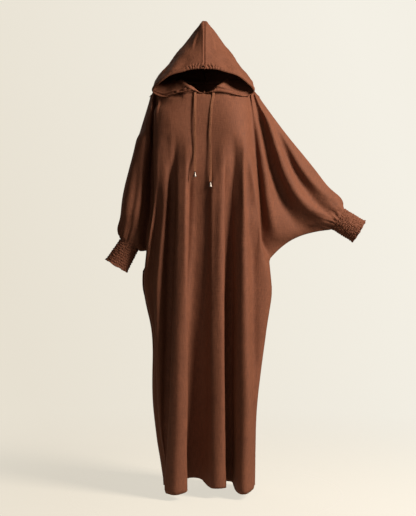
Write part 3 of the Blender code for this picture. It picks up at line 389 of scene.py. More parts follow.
def bell_metal():
    """Zinc, cast and plated dull grey: fine pits that break the light."""
    made, tree, shader = new_material("zinc_cast_plated")
    place = add_node(tree, "ShaderNodeTexCoord").outputs["Object"]
    pits = add_node(tree, "ShaderNodeTexNoise", {"Vector": place}, Scale=1.0 / PIT_SIZE,
                    Detail=5.0, Roughness=0.7)
    colours = add_node(tree, "ShaderNodeValToRGB", {"Fac": pits.outputs["Fac"]})
    colours.color_ramp.elements[0].color = linear("#5F5751")
    colours.color_ramp.elements[1].color = linear("#A79E96")
    rough = add_node(tree, "ShaderNodeMapRange", {"Value": pits.outputs["Fac"]},
                     To_Min=0.32, To_Max=0.55)
    bump = add_node(tree, "ShaderNodeBump", {"Height": pits.outputs["Fac"]},
                    Distance=0.08 * MM, Strength=0.5)
    set_inputs(shader, Base_Color=colours.outputs["Color"], Roughness=rough.outputs["Result"],
               Normal=bump.outputs["Normal"], Metallic=1.0)
    return made


crepe_cloth = crepe("polyester_crepe_twill", "#613927", "#7F4E38")
# Painted light: the tie's copy of the same cloth is drawn much lighter than the garment's, for the
# light the narrow tie catches in front of the chest.
painted_light_tie_crepe = crepe("polyester_crepe_tie", "#6B4029", "#9C664A", thread=0.7, sheen=0.3)
zinc = bell_metal()


# Drawstring

def smooth_path(points, count):
    """Even places along a Catmull-Rom line through the points, in metres."""
    points = np.array(points) * CM
    ends = np.vstack((2 * points[0] - points[1], points, 2 * points[-1] - points[-2]))
    line = []
    for before, start, stop, after in zip(ends, ends[1:], ends[2:], ends[3:]):
        for t in np.linspace(0, 1, PATH_STEPS, endpoint=False):
            line.append(0.5 * (2 * start + (stop - before) * t
                               + (2 * before - 5 * start + 4 * stop - after) * t ** 2
                               + (3 * start - before - 3 * stop + after) * t ** 3))
    line.append(points[-1])
    line = np.array(line)
    run = np.concatenate(([0.0], np.cumsum(np.linalg.norm(np.diff(line, axis=0), axis=1))))
    even = np.linspace(0.0, run[-1], count)
    return np.stack([np.interp(even, run, line[:, axis]) for axis in range(3)], axis=1), run[-1]


def tie(name):
    """A flat tie, sewn to a tube and pressed: rounded edges, a shallow middle."""
    centres, length = smooth_path(TIE_ROUTES[name], TIE_ROWS)
    along = np.gradient(centres, axis=0)
    along /= np.linalg.norm(along, axis=1)[:, None]
    twist = TIE_TWIST[name]
    turns = np.interp(np.linspace(0, len(twist) - 1, TIE_ROWS), range(len(twist)), twist)
    mesh = bmesh.new()
    rings = []
    for centre, forward, turn in zip(centres, along, turns):
        wide = np.array((1.0, 0.0, 0.0)) - forward * forward[0]
        wide /= np.linalg.norm(wide)
        thick = np.cross(forward, wide)
        angle = math.radians(turn)
        across = wide * math.cos(angle) + thick * math.sin(angle)
        out = thick * math.cos(angle) - wide * math.sin(angle)
        ring = []
        for step in range(TIE_SECTION):
            place = 2 * math.pi * step / TIE_SECTION
            flat = math.copysign(abs(math.cos(place)) ** TIE_EDGE_POWER, math.cos(place))
            rise = math.copysign(abs(math.sin(place)) ** TIE_FACE_POWER, math.sin(place))
            rise *= 1.0 - TIE_HOLLOW * math.exp(-(flat / TIE_HOLLOW_WIDTH) ** 2)
            ring.append(mesh.verts.new(centre + across * flat * TIE_WIDTH / 2
                                       + out * rise * TIE_THICKNESS / 2))
        rings.append(ring)
    join_rings(mesh, rings, TIE_GIRTH, length / TIE_ROWS)
    mesh.faces.new(rings[0][::-1])
    mesh.faces.new(rings[-1])
    bmesh.ops.recalc_face_normals(mesh, faces=mesh.faces)
    return mesh_piece(name + "_tie", mesh), centres, length


# A turned bell: radius and height below its top, in millimetres.
BELL_PROFILE = ((2.3, 0.0), (3.0, -0.15), (3.45, -0.7), (3.45, -1.6), (3.15, -2.1), (3.3, -3.0),
                (3.6, -5.0), (4.05, -7.4), (4.6, -9.5), (5.4, -12.3), (5.95, -14.5),
                (6.2, -15.6), (6.2, -16.6), (5.9, -17.2), (5.2, -17.5), (4.4, -17.1),
                (3.8, -14.6), (3.0, -10.0), (1.4, -8.6), (0.0, -8.4))
BELL_GAP = 0.3 * MM
BELL_STEPS = 36
BELL_WELD = 0.02 * MM


def bell(name, top):
    """The metal end of a tie, hollow below, with a lip where the tie goes in."""
    mesh = bmesh.new()
    low = np.array(top) - np.array((0.0, 0.0, BELL_GAP))
    profile = ((0.0, 0.0),) + BELL_PROFILE
    verts = [mesh.verts.new((low[0] + radius * MM, low[1], low[2] + height * MM))
             for radius, height in profile]
    edges = [mesh.edges.new(pair) for pair in zip(verts, verts[1:])]
    bmesh.ops.spin(mesh, geom=verts + edges, cent=low, axis=(0, 0, 1), steps=BELL_STEPS,
                   angle=2 * math.pi, use_merge=True)
    bmesh.ops.remove_doubles(mesh, verts=mesh.verts, dist=BELL_WELD)
    bmesh.ops.recalc_face_normals(mesh, faces=mesh.faces)
    return mesh_piece(name + "_bell", mesh)


for tie_name, end_name in TIE_ENDS.items():
    band, centres, tie_length = tie(tie_name)
    metal_end = bell(end_name, centres[-1])
    finish_piece(metal_end, end_name, zinc)
    finish_piece(band, tie_name, painted_light_tie_crepe)


# Cloth

def read(items, name, columns, kind=float):
    """One setting of every item as an array with so many columns."""
    values = np.empty(len(items) * columns, dtype=kind)
    items.foreach_get(name, values)
    return values.reshape(-1, columns)


def cloth_places(sheet):
    """The sheet's points and the directions it faces there, as arrays."""
    return read(sheet.data.vertices, "co", 3), read(sheet.data.vertex_normals, "vector", 3)


def put_places(sheet, places):
    """Puts the sheet's points in place, and reads them with their new directions."""
    sheet.data.vertices.foreach_set("co", np.ascontiguousarray(places).ravel())
    sheet.data.update()
    return cloth_places(sheet)


def outer_cloth(node, name, near, facing, sharp):
    """The outside of one solid, as an open sheet of mostly four-sided faces.

    near is a place on that side and facing the way it looks; the cloth is followed from
    there over every edge that turns less than sharp degrees.
    """
    sheet = new_piece(name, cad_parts[node].data.copy())
    sheet.data.materials.clear()
    edit(sheet)
    bpy.ops.mesh.select_all(action="SELECT")
    bpy.ops.mesh.remove_doubles(threshold=WELD)
    bpy.ops.mesh.customdata_custom_splitnormals_clear()
    bpy.ops.mesh.select_all(action="DESELECT")
    mesh = bmesh.from_edit_mesh(sheet.data)
    look = Vector(facing).normalized()
    spot = Vector(near) * CM
    faces = [face for face in mesh.faces if face.normal.dot(look) > 0.6]
    start = min(faces, key=lambda face: (face.calc_center_median() - spot).length)
    start.select_set(True)
    mesh.faces.active = start
    bmesh.update_edit_mesh(sheet.data)
    bpy.ops.mesh.faces_select_linked_flat(sharpness=math.radians(sharp))
    bpy.ops.mesh.select_all(action="INVERT")
    bpy.ops.mesh.delete(type="FACE")
    bpy.ops.mesh.select_all(action="SELECT")
    bpy.ops.mesh.tris_convert_to_quads(face_threshold=math.radians(QUAD_ANGLE),
                                       shape_threshold=math.radians(QUAD_ANGLE))
    leave_edit()
    return sheet


def lay_flat(sheet):
    """Unwraps the sheet to its cut, in metres, with its warp along the garment's height."""
    edit(sheet)
    while sheet.data.uv_layers:
        sheet.data.uv_layers.remove(sheet.data.uv_layers[0])
    sheet.data.uv_layers.new(name="cloth")
    bpy.ops.mesh.select_all(action="SELECT")
    bpy.ops.uv.unwrap(method="ANGLE_BASED", margin=0.0)
    leave_edit()
    data = sheet.data
    flat = read(data.uv_layers["cloth"].data, "uv", 2)
    corners = read(data.loops, "vertex_index", 1, int).ravel()
    worn = cloth_places(sheet)[0][corners][:, [0, 2]]
    flat = flat - flat.mean(0)
    worn = worn - worn.mean(0)
    first, _, second = np.linalg.svd(flat.T @ worn)
    flat = flat @ (first @ second)
    cut = 0.0
    for face in data.polygons:
        ring = flat[face.loop_start:face.loop_start + face.loop_total]
        after = np.roll(ring, -1, axis=0)
        cut += abs((ring[:, 0] * after[:, 1] - ring[:, 1] * after[:, 0]).sum()) / 2
    area = sum(face.area for face in data.polygons)
    flat *= math.sqrt(area / cut)
    data.uv_layers["cloth"].data.foreach_set("uv", flat.ravel())
    size = flat.max(0) - flat.min(0)
    return (float(size[0]), float(size[1])), area


def refine(sheet, rounds):
    """Rounds a coarse sheet by subdivision, keeping it on its own coarse points."""
    cage, _ = cloth_places(sheet)
    target = cage.copy()
    for share in HOLD_SHARES:
        rounding = add_rounding(sheet, rounds)
        graph = bpy.context.evaluated_depsgraph_get()
        rounded = sheet.evaluated_get(graph).to_mesh()
        reached = read(rounded.vertices, "co", 3)[:len(cage)]
        cage = cage + share * (target - reached)
        sheet.evaluated_get(graph).to_mesh_clear()
        sheet.modifiers.remove(rounding)
        put_places(sheet, cage)
    add_rounding(sheet, rounds)
    apply_all(sheet)


def add_rounding(sheet, rounds):
    rounding = sheet.modifiers.new("round", "SUBSURF")
    rounding.levels = rounds
    rounding.render_levels = rounds
    rounding.boundary_smooth = "PRESERVE_CORNERS"
    return rounding


def fade(value):
    """A soft step from 0 to 1."""
    value = np.clip(value, 0.0, 1.0)
    return value * value * (3 - 2 * value)


def soft_step(value, start, finish):
    """0 up to start and 1 from finish on, whichever of the two is the higher."""
    return fade((value - start) / (finish - start))


def calm(sheet, places, share, rounds):
    """Evens the cloth where share is above 0, as where it lies smooth on the body."""
    first, second = read(sheet.data.edges, "vertices", 2, int).T
    count = np.bincount(first, minlength=len(places)) + np.bincount(second, minlength=len(places))
    for _ in range(rounds):
        around = np.zeros_like(places)
        for axis in range(3):
            around[:, axis] = (np.bincount(first, places[second, axis], len(places))
                               + np.bincount(second, places[first, axis], len(places)))
        mean = around / count[:, None]
        places = places + (mean - places) * CALM_STEP * share[:, None]
    return places


def crease_shape(flat, crease):
    """How far one crease moves each point: flat is the points seen square on, in metres."""
    left, left_width, right, right_width, soft, start, finish, line = crease
    line = np.array(line) * CM
    steps = np.diff(line, axis=0)
    lengths = np.linalg.norm(steps, axis=1)
    run = np.concatenate(([0.0], np.cumsum(lengths)))
    away = np.full(len(flat), 1e9)
    side = np.zeros(len(flat))
    along = np.zeros(len(flat))
    for place, step, length, before in zip(line, steps, lengths, run):
        offset = flat - place
        share = np.clip(offset @ step / length ** 2, 0.0, 1.0)
        gap = offset - share[:, None] * step
        distance = np.linalg.norm(gap, axis=1)
        nearer = distance < away
        away[nearer] = distance[nearer]
        turn = (step[0] * offset[:, 1] - step[1] * offset[:, 0]) / length
        side[nearer] = turn[nearer]
        along[nearer] = (before + share * length)[nearer] / run[-1]
    signed = np.where(side < 0, -away, away)
    cross = fade(signed / (2 * soft * MM) + 0.5)
    shape = ((1 - cross) * left * np.exp(-(signed / (left_width * MM)) ** 2)
             + cross * right * np.exp(-(signed / (right_width * MM)) ** 2))
    if start:
        shape *= fade(along / start)
    if finish:
        shape *= fade((1 - along) / finish)
    return shape * MM


def press(places, normals, creases, share):
    """Presses a table of creases into the cloth along its own normals, where share is 1."""
    flat = places[:, [0, 2]]
    move = sum(crease_shape(flat, crease[1:]) for crease in creases)
    return places + normals * (move * share)[:, None]


def noise_at(*columns):
    """Noise at spots whose x, y and z are given; a number stands for a whole column."""
    return np.array([noise.noise(Vector(spot)) for spot in np.broadcast(*columns)])


def uneven(places, normals, size, height, stretch, seed):
    """Slow uneven waves in the cloth; size and height in millimetres."""
    x, y, z = (places * stretch / (size * MM)).T
    waves = noise_at(x + seed, y + seed * 1.7, z - seed)
    return places + normals * (waves * height * MM)[:, None]


def nearest(points):
    """A tree that finds the nearest of the points."""
    tree = KDTree(len(points))
    for index, point in enumerate(points):
        tree.insert(point, index)
    tree.balance()
    return tree


def give_wall(sheet, thickness):
    """Gives an open sheet its thickness, inwards."""
    wall = sheet.modifiers.new("wall", "SOLIDIFY")
    wall.thickness = thickness
    wall.offset = -1.0
    apply_all(sheet)


def panel(node, near, facing, sharp, rounds, close_rows=None):
    """One cut piece as a smooth sheet without a wall, its flat size and its area.

    close_rows is the lowest and highest level between which narrow rows are merged, in
    centimetres, and how narrow they are, in millimetres.
    """
    sheet = outer_cloth(node, node + "_cloth", near, facing, sharp)
    edit(sheet, "VERT")
    if close_rows:
        low, high, narrow = close_rows
        mesh = bmesh.from_edit_mesh(sheet.data)
        for vert in mesh.verts:
            vert.select = low < vert.co.z / CM < high
        bpy.ops.mesh.remove_doubles(threshold=narrow * MM)
    bpy.ops.mesh.select_all(action="SELECT")
    bpy.ops.mesh.fill_holes(sides=SMALL_HOLE)
    leave_edit()
    flat, area = lay_flat(sheet)
    refine(sheet, rounds)
    return sheet, flat, area


def finish_sheet(sheet, node):
    """Gives a cut piece its wall and its material."""
    give_wall(sheet, CLOTH)
    finish_piece(sheet, node, crepe_cloth)


def edge_points(sheet):
    """Which points lie on the sheet's own edge."""
    data = sheet.data
    uses = np.bincount(read(data.loops, "edge_index", 1, int).ravel())
    rim = np.zeros(len(data.vertices), dtype=bool)
    rim[read(data.edges, "vertices", 2, int)[uses == 1]] = True
    return rim


# Front and back: seams and edges

# How deep a seam's edge is turned in, and how far from a seam the folds begin.
SEAM_ALLOWANCE = 7 * MM
SEAM_EASE = 16 * MM
CUFF_EASE = 6 * MM
# In centimetres: the highest level and the two ends of the hem, and of the part of it
# that isn't turned in; the lowest level and the inner end of the shoulder points.
HEM = (-136.0, -13.5, 17.0)
HEM_EDGE = (-140.5, -13.0, 16.5)
SHOULDER_POINT = (-6.0, 12.0)
# Middle of the cuff's top, the way along the arm and half its width, in x and z.
CUFF_JOINS = ((-27.7, -55.7, -0.513, -0.858, 3.85), (49.1, -46.2, 0.852, -0.523, 4.35))


def seen_from_front(places):
    """How far across and how high each point is, in centimetres."""
    return places[:, 0] / CM, places[:, 2] / CM


def beside_cuffs(places):
    """For each cuff, how far the points are past its top and off its middle, and its half
    width, in centimetres.
    """
    for x, z, way_x, way_z, wide in CUFF_JOINS:
        offset = places[:, [0, 2]] / CM - (x, z)
        yield offset @ (way_x, way_z), offset @ (-way_z, way_x), wide


def seam_distance(places, rim, with_cuffs=True):
    """Each point's distance from the seams that join this sheet to its neighbours."""
    across, level = seen_from_front(places)
    hem = rim & (level < HEM[0]) & (across > HEM[1]) & (across < HEM[2])
    cuffs = np.zeros(len(places), dtype=bool)
    for past, off, wide in beside_cuffs(places):
        cuffs |= (past > -0.6) & (np.abs(off) < wide - 0.4)
    seams = nearest(places[rim & ~hem & (~cuffs | with_cuffs)])
    return np.array([seams.find(place)[2] for place in places])


def is_turned_in(place):
    """Whether an edge point is on a seam, and not on the hem or at a shoulder."""
    x, z = place.x / CM, place.z / CM
    at_hem = z < HEM_EDGE[0] and HEM_EDGE[1] < x < HEM_EDGE[2]
    at_shoulder = z > SHOULDER_POINT[0] and abs(x) > SHOULDER_POINT[1]
    return not at_hem and not at_shoulder


def turn_in(sheet, chosen, cross=0.0):
    """Turns the chosen edges in as a seam allowance, so that no light passes the seam.
    With cross, they also pass the middle by that much, as on a centre seam.
    """
    mesh = bmesh.new()
    mesh.from_mesh(sheet.data)
    rim = [edge for edge in mesh.edges if edge.is_boundary
           and all(chosen(vert.co) for vert in edge.verts)]
    inward = {tuple(vert.co): vert.normal.copy() for edge in rim for vert in edge.verts}
    made = bmesh.ops.extrude_edge_only(mesh, edges=rim)
    for vert in made["geom"]:
        if isinstance(vert, bmesh.types.BMVert):
            way = inward[tuple(vert.co)]
            if cross:
                way = Vector((0.0, way.y, way.z)).normalized()
            vert.co -= way * SEAM_ALLOWANCE
            vert.co.x += cross
    mesh.to_mesh(sheet.data)
    mesh.free()
    sheet.data.update()


# Front and back: how the cloth hangs, in centimetres

# The smooth part over the chest: half its width, its lowest and its highest level.
CHEST_HALF = 16.8
CHEST_LOW = -25.0
CHEST_HIGH = -2.5


def even_chest(places):
    """Lays the cloth smooth over the chest or the upper back, where no fold has begun."""
    across, level = seen_from_front(places)
    across = across / CHEST_HALF
    down = (level - CHEST_LOW / 2) / (CHEST_LOW / 2)
    powers = np.stack([across ** i * down ** j for i in range(5) for j in range(4)], axis=1)
    inside = (np.abs(across) < 1.04) & (level > CHEST_LOW - 1) & (level < CHEST_HIGH)
    fit = np.linalg.lstsq(powers[inside], places[inside, 1], rcond=None)[0]
    share = soft_step(level, -24, -14) * soft_step(level, -1, -4)
    share *= soft_step(np.abs(across), 1.02, 0.92)
    places[:, 1] += share * (powers @ fit - places[:, 1])


# How far the folds beside the body move under the raised arm, at each height: the
# body's edge outwards, the wing's own folds inwards.
LEAN_LEVELS = (-58, -52, -46, -41, -35, -29, -20, -12)
EDGE_MOVES = (0.3, 1.0, 2.2, 0.8, 0.3, -0.5, -1.1, -0.9)
WING_MOVES = (-2.0, -2.6, -2.9, -2.4, -1.8, -1.4, -0.8, 0.0)
LEAN_START = 13.0
EDGE_PLACE = 17.8
WING_PLACE = 23.4
LEAN_EASE = 60 * MM


def lean_wing(places, away):
    """Leans the folds between the body and the raised arm, inside their seams."""
    across, level = seen_from_front(places)
    edge = np.interp(level, LEAN_LEVELS, EDGE_MOVES)
    wing = np.interp(level, LEAN_LEVELS, WING_MOVES)
    lean = edge * soft_step(across, LEAN_START, EDGE_PLACE)
    lean += (wing - edge) * np.clip((across - EDGE_PLACE) / (WING_PLACE - EDGE_PLACE), 0, 1)
    places[:, 0] += lean * CM * soft_step(level, -64, -56) * fade(away / LEAN_EASE)


SHOULDER_RISE = 10 * MM


def raise_shoulders(places):
    """Lifts the shoulder points to where they meet the hood's corners."""
    across, level = seen_from_front(places)
    half = np.abs(across)
    share = soft_step(half, 13, 17) * soft_step(half, 20.6, 18.2) * soft_step(level, -8, -2.5)
    places[:, 2] += SHOULDER_RISE * share


SIDE_ROUNDS = 40
SLEEVE_ROUNDS = 60


def calm_right_side(sheet, places, free):
    """Evens the cloth where it turns round the body to the hanging arm, and the sleeve's."""
    across, level = seen_from_front(places)
    side = soft_step(across, -11.6, -13.6) * soft_step(across, -19.5, -18.0)
    side *= soft_step(level, -52, -32) * soft_step(level, -7, -17) * free
    places = calm(sheet, places, side, SIDE_ROUNDS)
    sleeve = soft_step(places[:, 0] / CM, -19.6, -21.1) * soft_step(level, -56, -50) * free
    return calm(sheet, places, sleeve, SLEEVE_ROUNDS)


# The trough where the raised sleeve leaves the body: its place at each height and how
# wide the cloth spans it.
TROUGH_LEVELS = (-52, -40, -28, -5)
TROUGH_PLACES = (22.0, 20.2, 18.6, 18.2)
TROUGH_HALF = 2.1
FILL_ROUNDS = 70


def fill_trough(sheet, places, free):
    """Lets the cloth span the deep trough where the raised sleeve leaves the body."""
    across, level = seen_from_front(places)
    middle = np.interp(level, TROUGH_LEVELS, TROUGH_PLACES)
    share = np.exp(-((across - middle) / TROUGH_HALF) ** 2) * soft_step(level, -56, -42)
    share *= soft_step(level, -1.5, -4.5) * free
    return calm(sheet, places, share * (share > 0.02), FILL_ROUNDS)


# The gathers at a cuff: how far up they run, how many there are and how high they
# stand, and how much the sleeve widens for each centimetre up from the cuff.
GATHER_REACH = 7.0
GATHER_COUNT = 8
GATHER_HEIGHT = 5.5 * MM
SLEEVE_FLARE = 0.55


def gather(places, normals, seed):
    """Small gathers where each sleeve is drawn into its cuff."""
    for past, off, wide in beside_cuffs(places):
        up = -past
        across = off / (wide + SLEEVE_FLARE * np.clip(up, 0, 9))
        drift = noise_at(across * 1.6, up * 0.12, seed)
        turns = np.clip(across, -1.2, 1.2) / 2 + 0.11 * drift
        wave = np.abs(np.sin(math.pi * GATHER_COUNT * turns))
        near = fade((GATHER_REACH * (1 + 1.2 * drift) - up) / GATHER_REACH) * (up > -1.5)
        near *= soft_step(np.abs(across), 1.35, 1.15)
        places = places + normals * ((wave ** 0.7 - 0.62) * near * GATHER_HEIGHT)[:, None]
    return places


# Waves left in the hanging cloth: size and height in millimetres, the stretch along
# x, y and z, and a seed.
SLOW_WAVES = (52, 2.2, (1.0, 1.0, 0.16), 3.1)
SMALL_WAVES = (21, 0.7, (1.0, 1.0, 0.35), 8.4)
# The narrow rows at the underarm, which are merged before the cloth is rounded.
UNDERARM_ROWS = (-62, -57, 3.4)


def body_panel(node, near, facing, creases):
    """The front or the back, each with its halves of both sleeves."""
    sheet, flat, area = panel(node, near, facing, BODY_SHARP, 2, close_rows=UNDERARM_ROWS)
    rim = edge_points(sheet)
    places, _ = cloth_places(sheet)
    away = seam_distance(places, rim)
    free = fade(away / SEAM_EASE)
    free_at_cuffs = fade(seam_distance(places, rim, with_cuffs=False) / CUFF_EASE)
    lean_wing(places, away)
    raise_shoulders(places)
    even_chest(places)
    places = calm_right_side(sheet, places, free)
    places = fill_trough(sheet, places, free)
    places, normals = put_places(sheet, places)
    places, normals = put_places(sheet, press(places, normals, creases, free))
    hang = soft_step(places[:, 2] / CM, -14, -28)
    waved = uneven(places, normals, *SLOW_WAVES)
    waved = uneven(waved, normals, *SMALL_WAVES)
    places += (waved - places) * ((0.25 + 0.75 * hang) * free)[:, None]
    places = gather(places, normals * free_at_cuffs[:, None], near[1])
    places = press(places, normals, CUFF_PLEATS, free_at_cuffs)
    put_places(sheet, places)
    turn_in(sheet, is_turned_in)
    finish_sheet(sheet, node)


body_panel("front", (0, -14, -60), (0, -1, 0), FRONT_CREASES)
body_panel("back", (0, 12, -60), (0, 1, 0), BACK_CREASES)


# Hood

# The hood's half width at each level on the wearer's right and left, in centimetres.
OUTLINE_LEVELS = (2.6, 7.0, 11.4, 15.8, 20.2, 23.1, 24.6, 26.0)
OUTLINE_HALVES = {-1: (18.9, 16.7, 13.0, 9.7, 6.05, 3.85, 2.4, 1.3),
                  1: (18.15, 15.6, 12.3, 9.35, 6.05, 3.85, 2.4, 1.3)}
# Levels at which the width is measured, and how far it may be changed.
MEASURED_LEVELS = np.arange(3.0, 26.1, 0.7)
GROWTH_LIMITS = (0.85, 2.2)
PEAK_LEVEL = 25.1 * CM
PEAK_SOFT = 10 * MM
PEAK_HALF = 12 * MM
PEAK_DROP = 3.5 * MM
SEAM_GAP = 0.15 * MM
SEAM_CROSS = 0.8 * MM
# The opening's edge is in front of the first place or farther out than the second, and
# the centre seam within the third, in centimetres.
OPENING_FRONT = -8.95
OPENING_SIDE = 11.0
CENTRE_HALF = 0.25
HOOD_CREASES = (
    ("brow fold", 3, 16, 3, 16, 8, 0.3, 0.3, ((13.6, 3.6), (11.0, 7.2), (8.2, 11.5), (5.6, 16.4))),
    ("brow hollow", -3, 16, -3, 16, 8, 0.3, 0.3, ((10.2, 4.6), (7.6, 8.5), (5.2, 13.0))),
    ("side fold", -3, 14, 3, 16, 6, 0.3, 0.3, ((16.6, 3.6), (14.2, 8.0), (11.6, 12.4), (9.0, 16.4))),
    ("peak fold", 2, 10, -2, 12, 5, 0.2, 0.4, ((2.0, 22.6), (3.4, 18.6), (4.2, 13.8))),
)
# The casing, in millimetres: its width, the row of stitching, the gathers' spacing, and
# how far they run along the edge from the middle and at the side, at a share of it.
CASING = 16.5
STITCH_HALF = 2.6
RIPPLE_SPACING = 10.5
DRAWN_MIDDLE = 44
DRAWN_SIDE = 30
DRAWN_SIDE_SHARE = 0.46
# The raised seam line beside the centre seam on each half, in millimetres.
SEAM_RIDGES = {-1: 1.4, 1: 0.5}


def keep_outline(places, side):
    """Widens the hood to its outline seen from the front."""
    across, level = seen_from_front(places)
    half = np.abs(across)
    reach = np.array([half[np.abs(level - step) < 0.2].max() for step in MEASURED_LEVELS])
    wanted = np.interp(MEASURED_LEVELS, OUTLINE_LEVELS, OUTLINE_HALVES[side])
    grow = np.interp(level, MEASURED_LEVELS, np.clip(wanted / reach, *GROWTH_LIMITS))
    places[:, 0] *= 1 + (grow - 1) * soft_step(level, 3, 5)


def along_opening(places, rim, side):
    """Each point's distance from the hood's opening edge, its place along that edge and
    the edge's length, in millimetres.
    """
    across = places[:, 0] * side / CM
    opening = (places[:, 1] / CM < OPENING_FRONT) | (across > OPENING_SIDE)
    edge = places[rim & (across >= CENTRE_HALF) & opening]
    order = np.argsort(np.arctan2(edge[:, 2] - 1.0 * CM, edge[:, 0] * side))[::-1]
    edge = edge[order]
    steps = np.linalg.norm(np.diff(edge, axis=0), axis=1)
    run = np.concatenate(([0.0], np.cumsum(np.minimum(steps, 6 * MM))))
    tree = nearest(edge)
    found = [tree.find(place) for place in places]
    away = np.array([item[2] for item in found])
    along = np.array([run[item[1]] for item in found])
    return away / MM, along / MM, run[-1] / MM


def casing_shape(away, along, total, side):
    """The drawstring's casing in millimetres: its tube, its stitching and its gathers."""
    inside = soft_step(away, 0, 4) * soft_step(away, CASING, CASING - 5)
    stitched = np.exp(-((away - CASING) / STITCH_HALF) ** 2)
    wander = noise_at(along * 0.035, away * 0.03, side * 4.0)
    ripple = np.sin(2 * math.pi * (along / RIPPLE_SPACING + 0.7 * wander))
    ripple = np.sign(ripple) * np.abs(ripple) ** 0.7
    drawn = np.exp(-(along / DRAWN_MIDDLE) ** 2)
    drawn += 0.8 * np.exp(-((along - DRAWN_SIDE_SHARE * total) / DRAWN_SIDE) ** 2)
    drawn += 0.22
    reach = soft_step(away, 38, 12) * (0.35 + 0.65 * soft_step(away, -4, 10))
    return 2.4 * inside - 2.8 * stitched + 2.2 * ripple * drawn * reach * (1 + 0.6 * wander)


def hood_half(node, side):
    """One half of the hood, from its centre seam to the neck; side is -1 for the right."""
    sheet, flat, area = panel(node, (11 * side, 2, 14), (side, 0, 0.3), HOOD_SHARP, 3)
    places, _ = cloth_places(sheet)
    keep_outline(places, side)
    rim = edge_points(sheet)
    seam = rim & (places[:, 0] * side / MM < 6)
    places[seam, 0] = side * SEAM_GAP
    places, normals = put_places(sheet, places)
    away, along, total = along_opening(places, rim, side)
    across = places[:, 0] * side / MM
    fore = soft_step(places[:, 1] / CM, -1, -4)
    rise = casing_shape(away, along, total, side)
    seam_line = SEAM_RIDGES[side] * np.exp(-((across - 5) / 3.2) ** 2)
    seam_line -= 1.7 * np.exp(-(across / 2.0) ** 2)
    rise += soft_step(places[:, 2] / CM, 24, 20) * seam_line
    places += normals * (rise * MM)[:, None]
    creases = [(*row[:8], tuple((x * side, z) for x, z in row[8])) for row in HOOD_CREASES]
    places = press(places, normals, creases, fore * soft_step(away, CASING, CASING + 12))
    waved = uneven(places, normals, 46, 2.2, (1.0, 1.0, 0.6), 5.0 + side)
    places += (waved - places) * soft_step(away, 8, 30)[:, None]
    places[seam, 0] = side * SEAM_GAP
    dome = fade((places[:, 2] - PEAK_LEVEL) / PEAK_SOFT)
    places[:, 2] -= PEAK_DROP * dome * np.minimum((places[:, 0] / PEAK_HALF) ** 2, 1.0)
    put_places(sheet, places)
    turn_in(sheet, lambda place: place.x * side < SEAM_GAP * 1.5, -side * SEAM_CROSS)
    finish_sheet(sheet, node)


hood_half("hood_right", -1)
hood_half("hood_left", 1)


# Cuffs

# Side, middle of the top and of the end in x and z, then half width and half depth at
# the top and at the end.
CUFFS = {
    "cuff_right": (-1, (-27.7, -55.7), (-32.3, -63.4), (3.85, 3.1, 4.5, 3.5)),
    "cuff_left": (1, (49.1, -46.2), (56.6, -50.8), (4.35, 3.2, 4.4, 3.5)),
}
CUFF_GATHERS = 48
CUFF_POINTS = 8
CUFF_LEVELS = 70
ELASTIC_ROWS = 10
# How wide a row of elastic grips, as a share of the rows' spacing, and between which
# shares of the length it does; after the last share the cloth runs out in a frill.
ELASTIC_GRIP = 0.14
ELASTIC_SPAN = (0.04, 0.955)
FRILL_START = 0.93
# The cloth's width round the cuff before the elastic draws it in.
CUFF_CUT = 46 * CM


def cuff_rise(wave, spot, held, frill):
    """How far the cloth of a cuff stands out at one spot, in metres."""
    puff = abs(math.sin(wave)) ** 0.8
    full = 1.0 + 0.9 * noise.noise(spot * 1.9 + Vector((9, 0, 0)))
    rise = puff * full * (2.5 - 1.2 * held) - 0.5 * held - 1.2
    rise += frill * (1.6 + 1.5 * math.sin(wave * 0.5 + 2 * noise.noise(spot)))
    return rise * MM


def cuff(node):
    """A shirred cuff: the cloth is drawn up on rows of elastic thread into small puffs."""
    side, top, end, (wide, deep, end_wide, end_deep) = CUFFS[node]
    top = np.array((top[0], 0.0, top[1])) * CM
    end = np.array((end[0], 0.0, end[1])) * CM
    length = np.linalg.norm(end - top)
    axis = (end - top) / length
    overarm = np.array((-axis[2], 0.0, axis[0])) * side
    steps = CUFF_GATHERS * CUFF_POINTS
    mesh = bmesh.new()
    rings = []
    for level in range(CUFF_LEVELS + 1):
        share = level / CUFF_LEVELS
        row = share * ELASTIC_ROWS
        held = 0.0
        if ELASTIC_SPAN[0] < share < ELASTIC_SPAN[1]:
            held = math.exp(-((row - round(row)) / ELASTIC_GRIP) ** 2)
        frill = max(0.0, (share - FRILL_START) / (1 - FRILL_START))
        half_wide = (wide + (end_wide - wide) * share) * CM
        half_deep = (deep + (end_deep - deep) * share) * CM
        ring = []
        for step in range(steps):
            turn = 2 * math.pi * step / steps
            spot = Vector((math.cos(turn) * 3.1, math.sin(turn) * 3.1, row * 0.9 + side * 7))
            wander = noise.noise(spot) * 0.17 + noise.noise(spot * 2.3) * 0.06
            rise = cuff_rise((turn + wander) * CUFF_GATHERS / 2, spot, held, frill)
            slip = noise.noise(spot * 1.7 + Vector((0, 5, 0))) * 0.7 * MM * (1 + 2 * frill)
            place = top + axis * (length * share + 0.3 * MM + slip)
            place = place + overarm * (half_wide + rise) * math.cos(turn)
            place[1] -= (half_deep + rise) * math.sin(turn)
            ring.append(mesh.verts.new(place))
        rings.append(ring)
    join_rings(mesh, rings, CUFF_CUT, length / CUFF_LEVELS)
    bmesh.ops.recalc_face_normals(mesh, faces=mesh.faces)
    middle = Vector((top + end) / 2)
    first = next(iter(mesh.faces))
    if first.normal.dot(first.calc_center_median() - middle) < 0:
        bmesh.ops.reverse_faces(mesh, faces=mesh.faces)
    area = sum(face.calc_area() for face in mesh.faces)
    made = mesh_piece(node + "_cloth", mesh)
    give_wall(made, CUFF_CLOTH)
    finish_piece(made, node, crepe_cloth)


for cuff_name in CUFFS:
    cuff(cuff_name)


# Studio

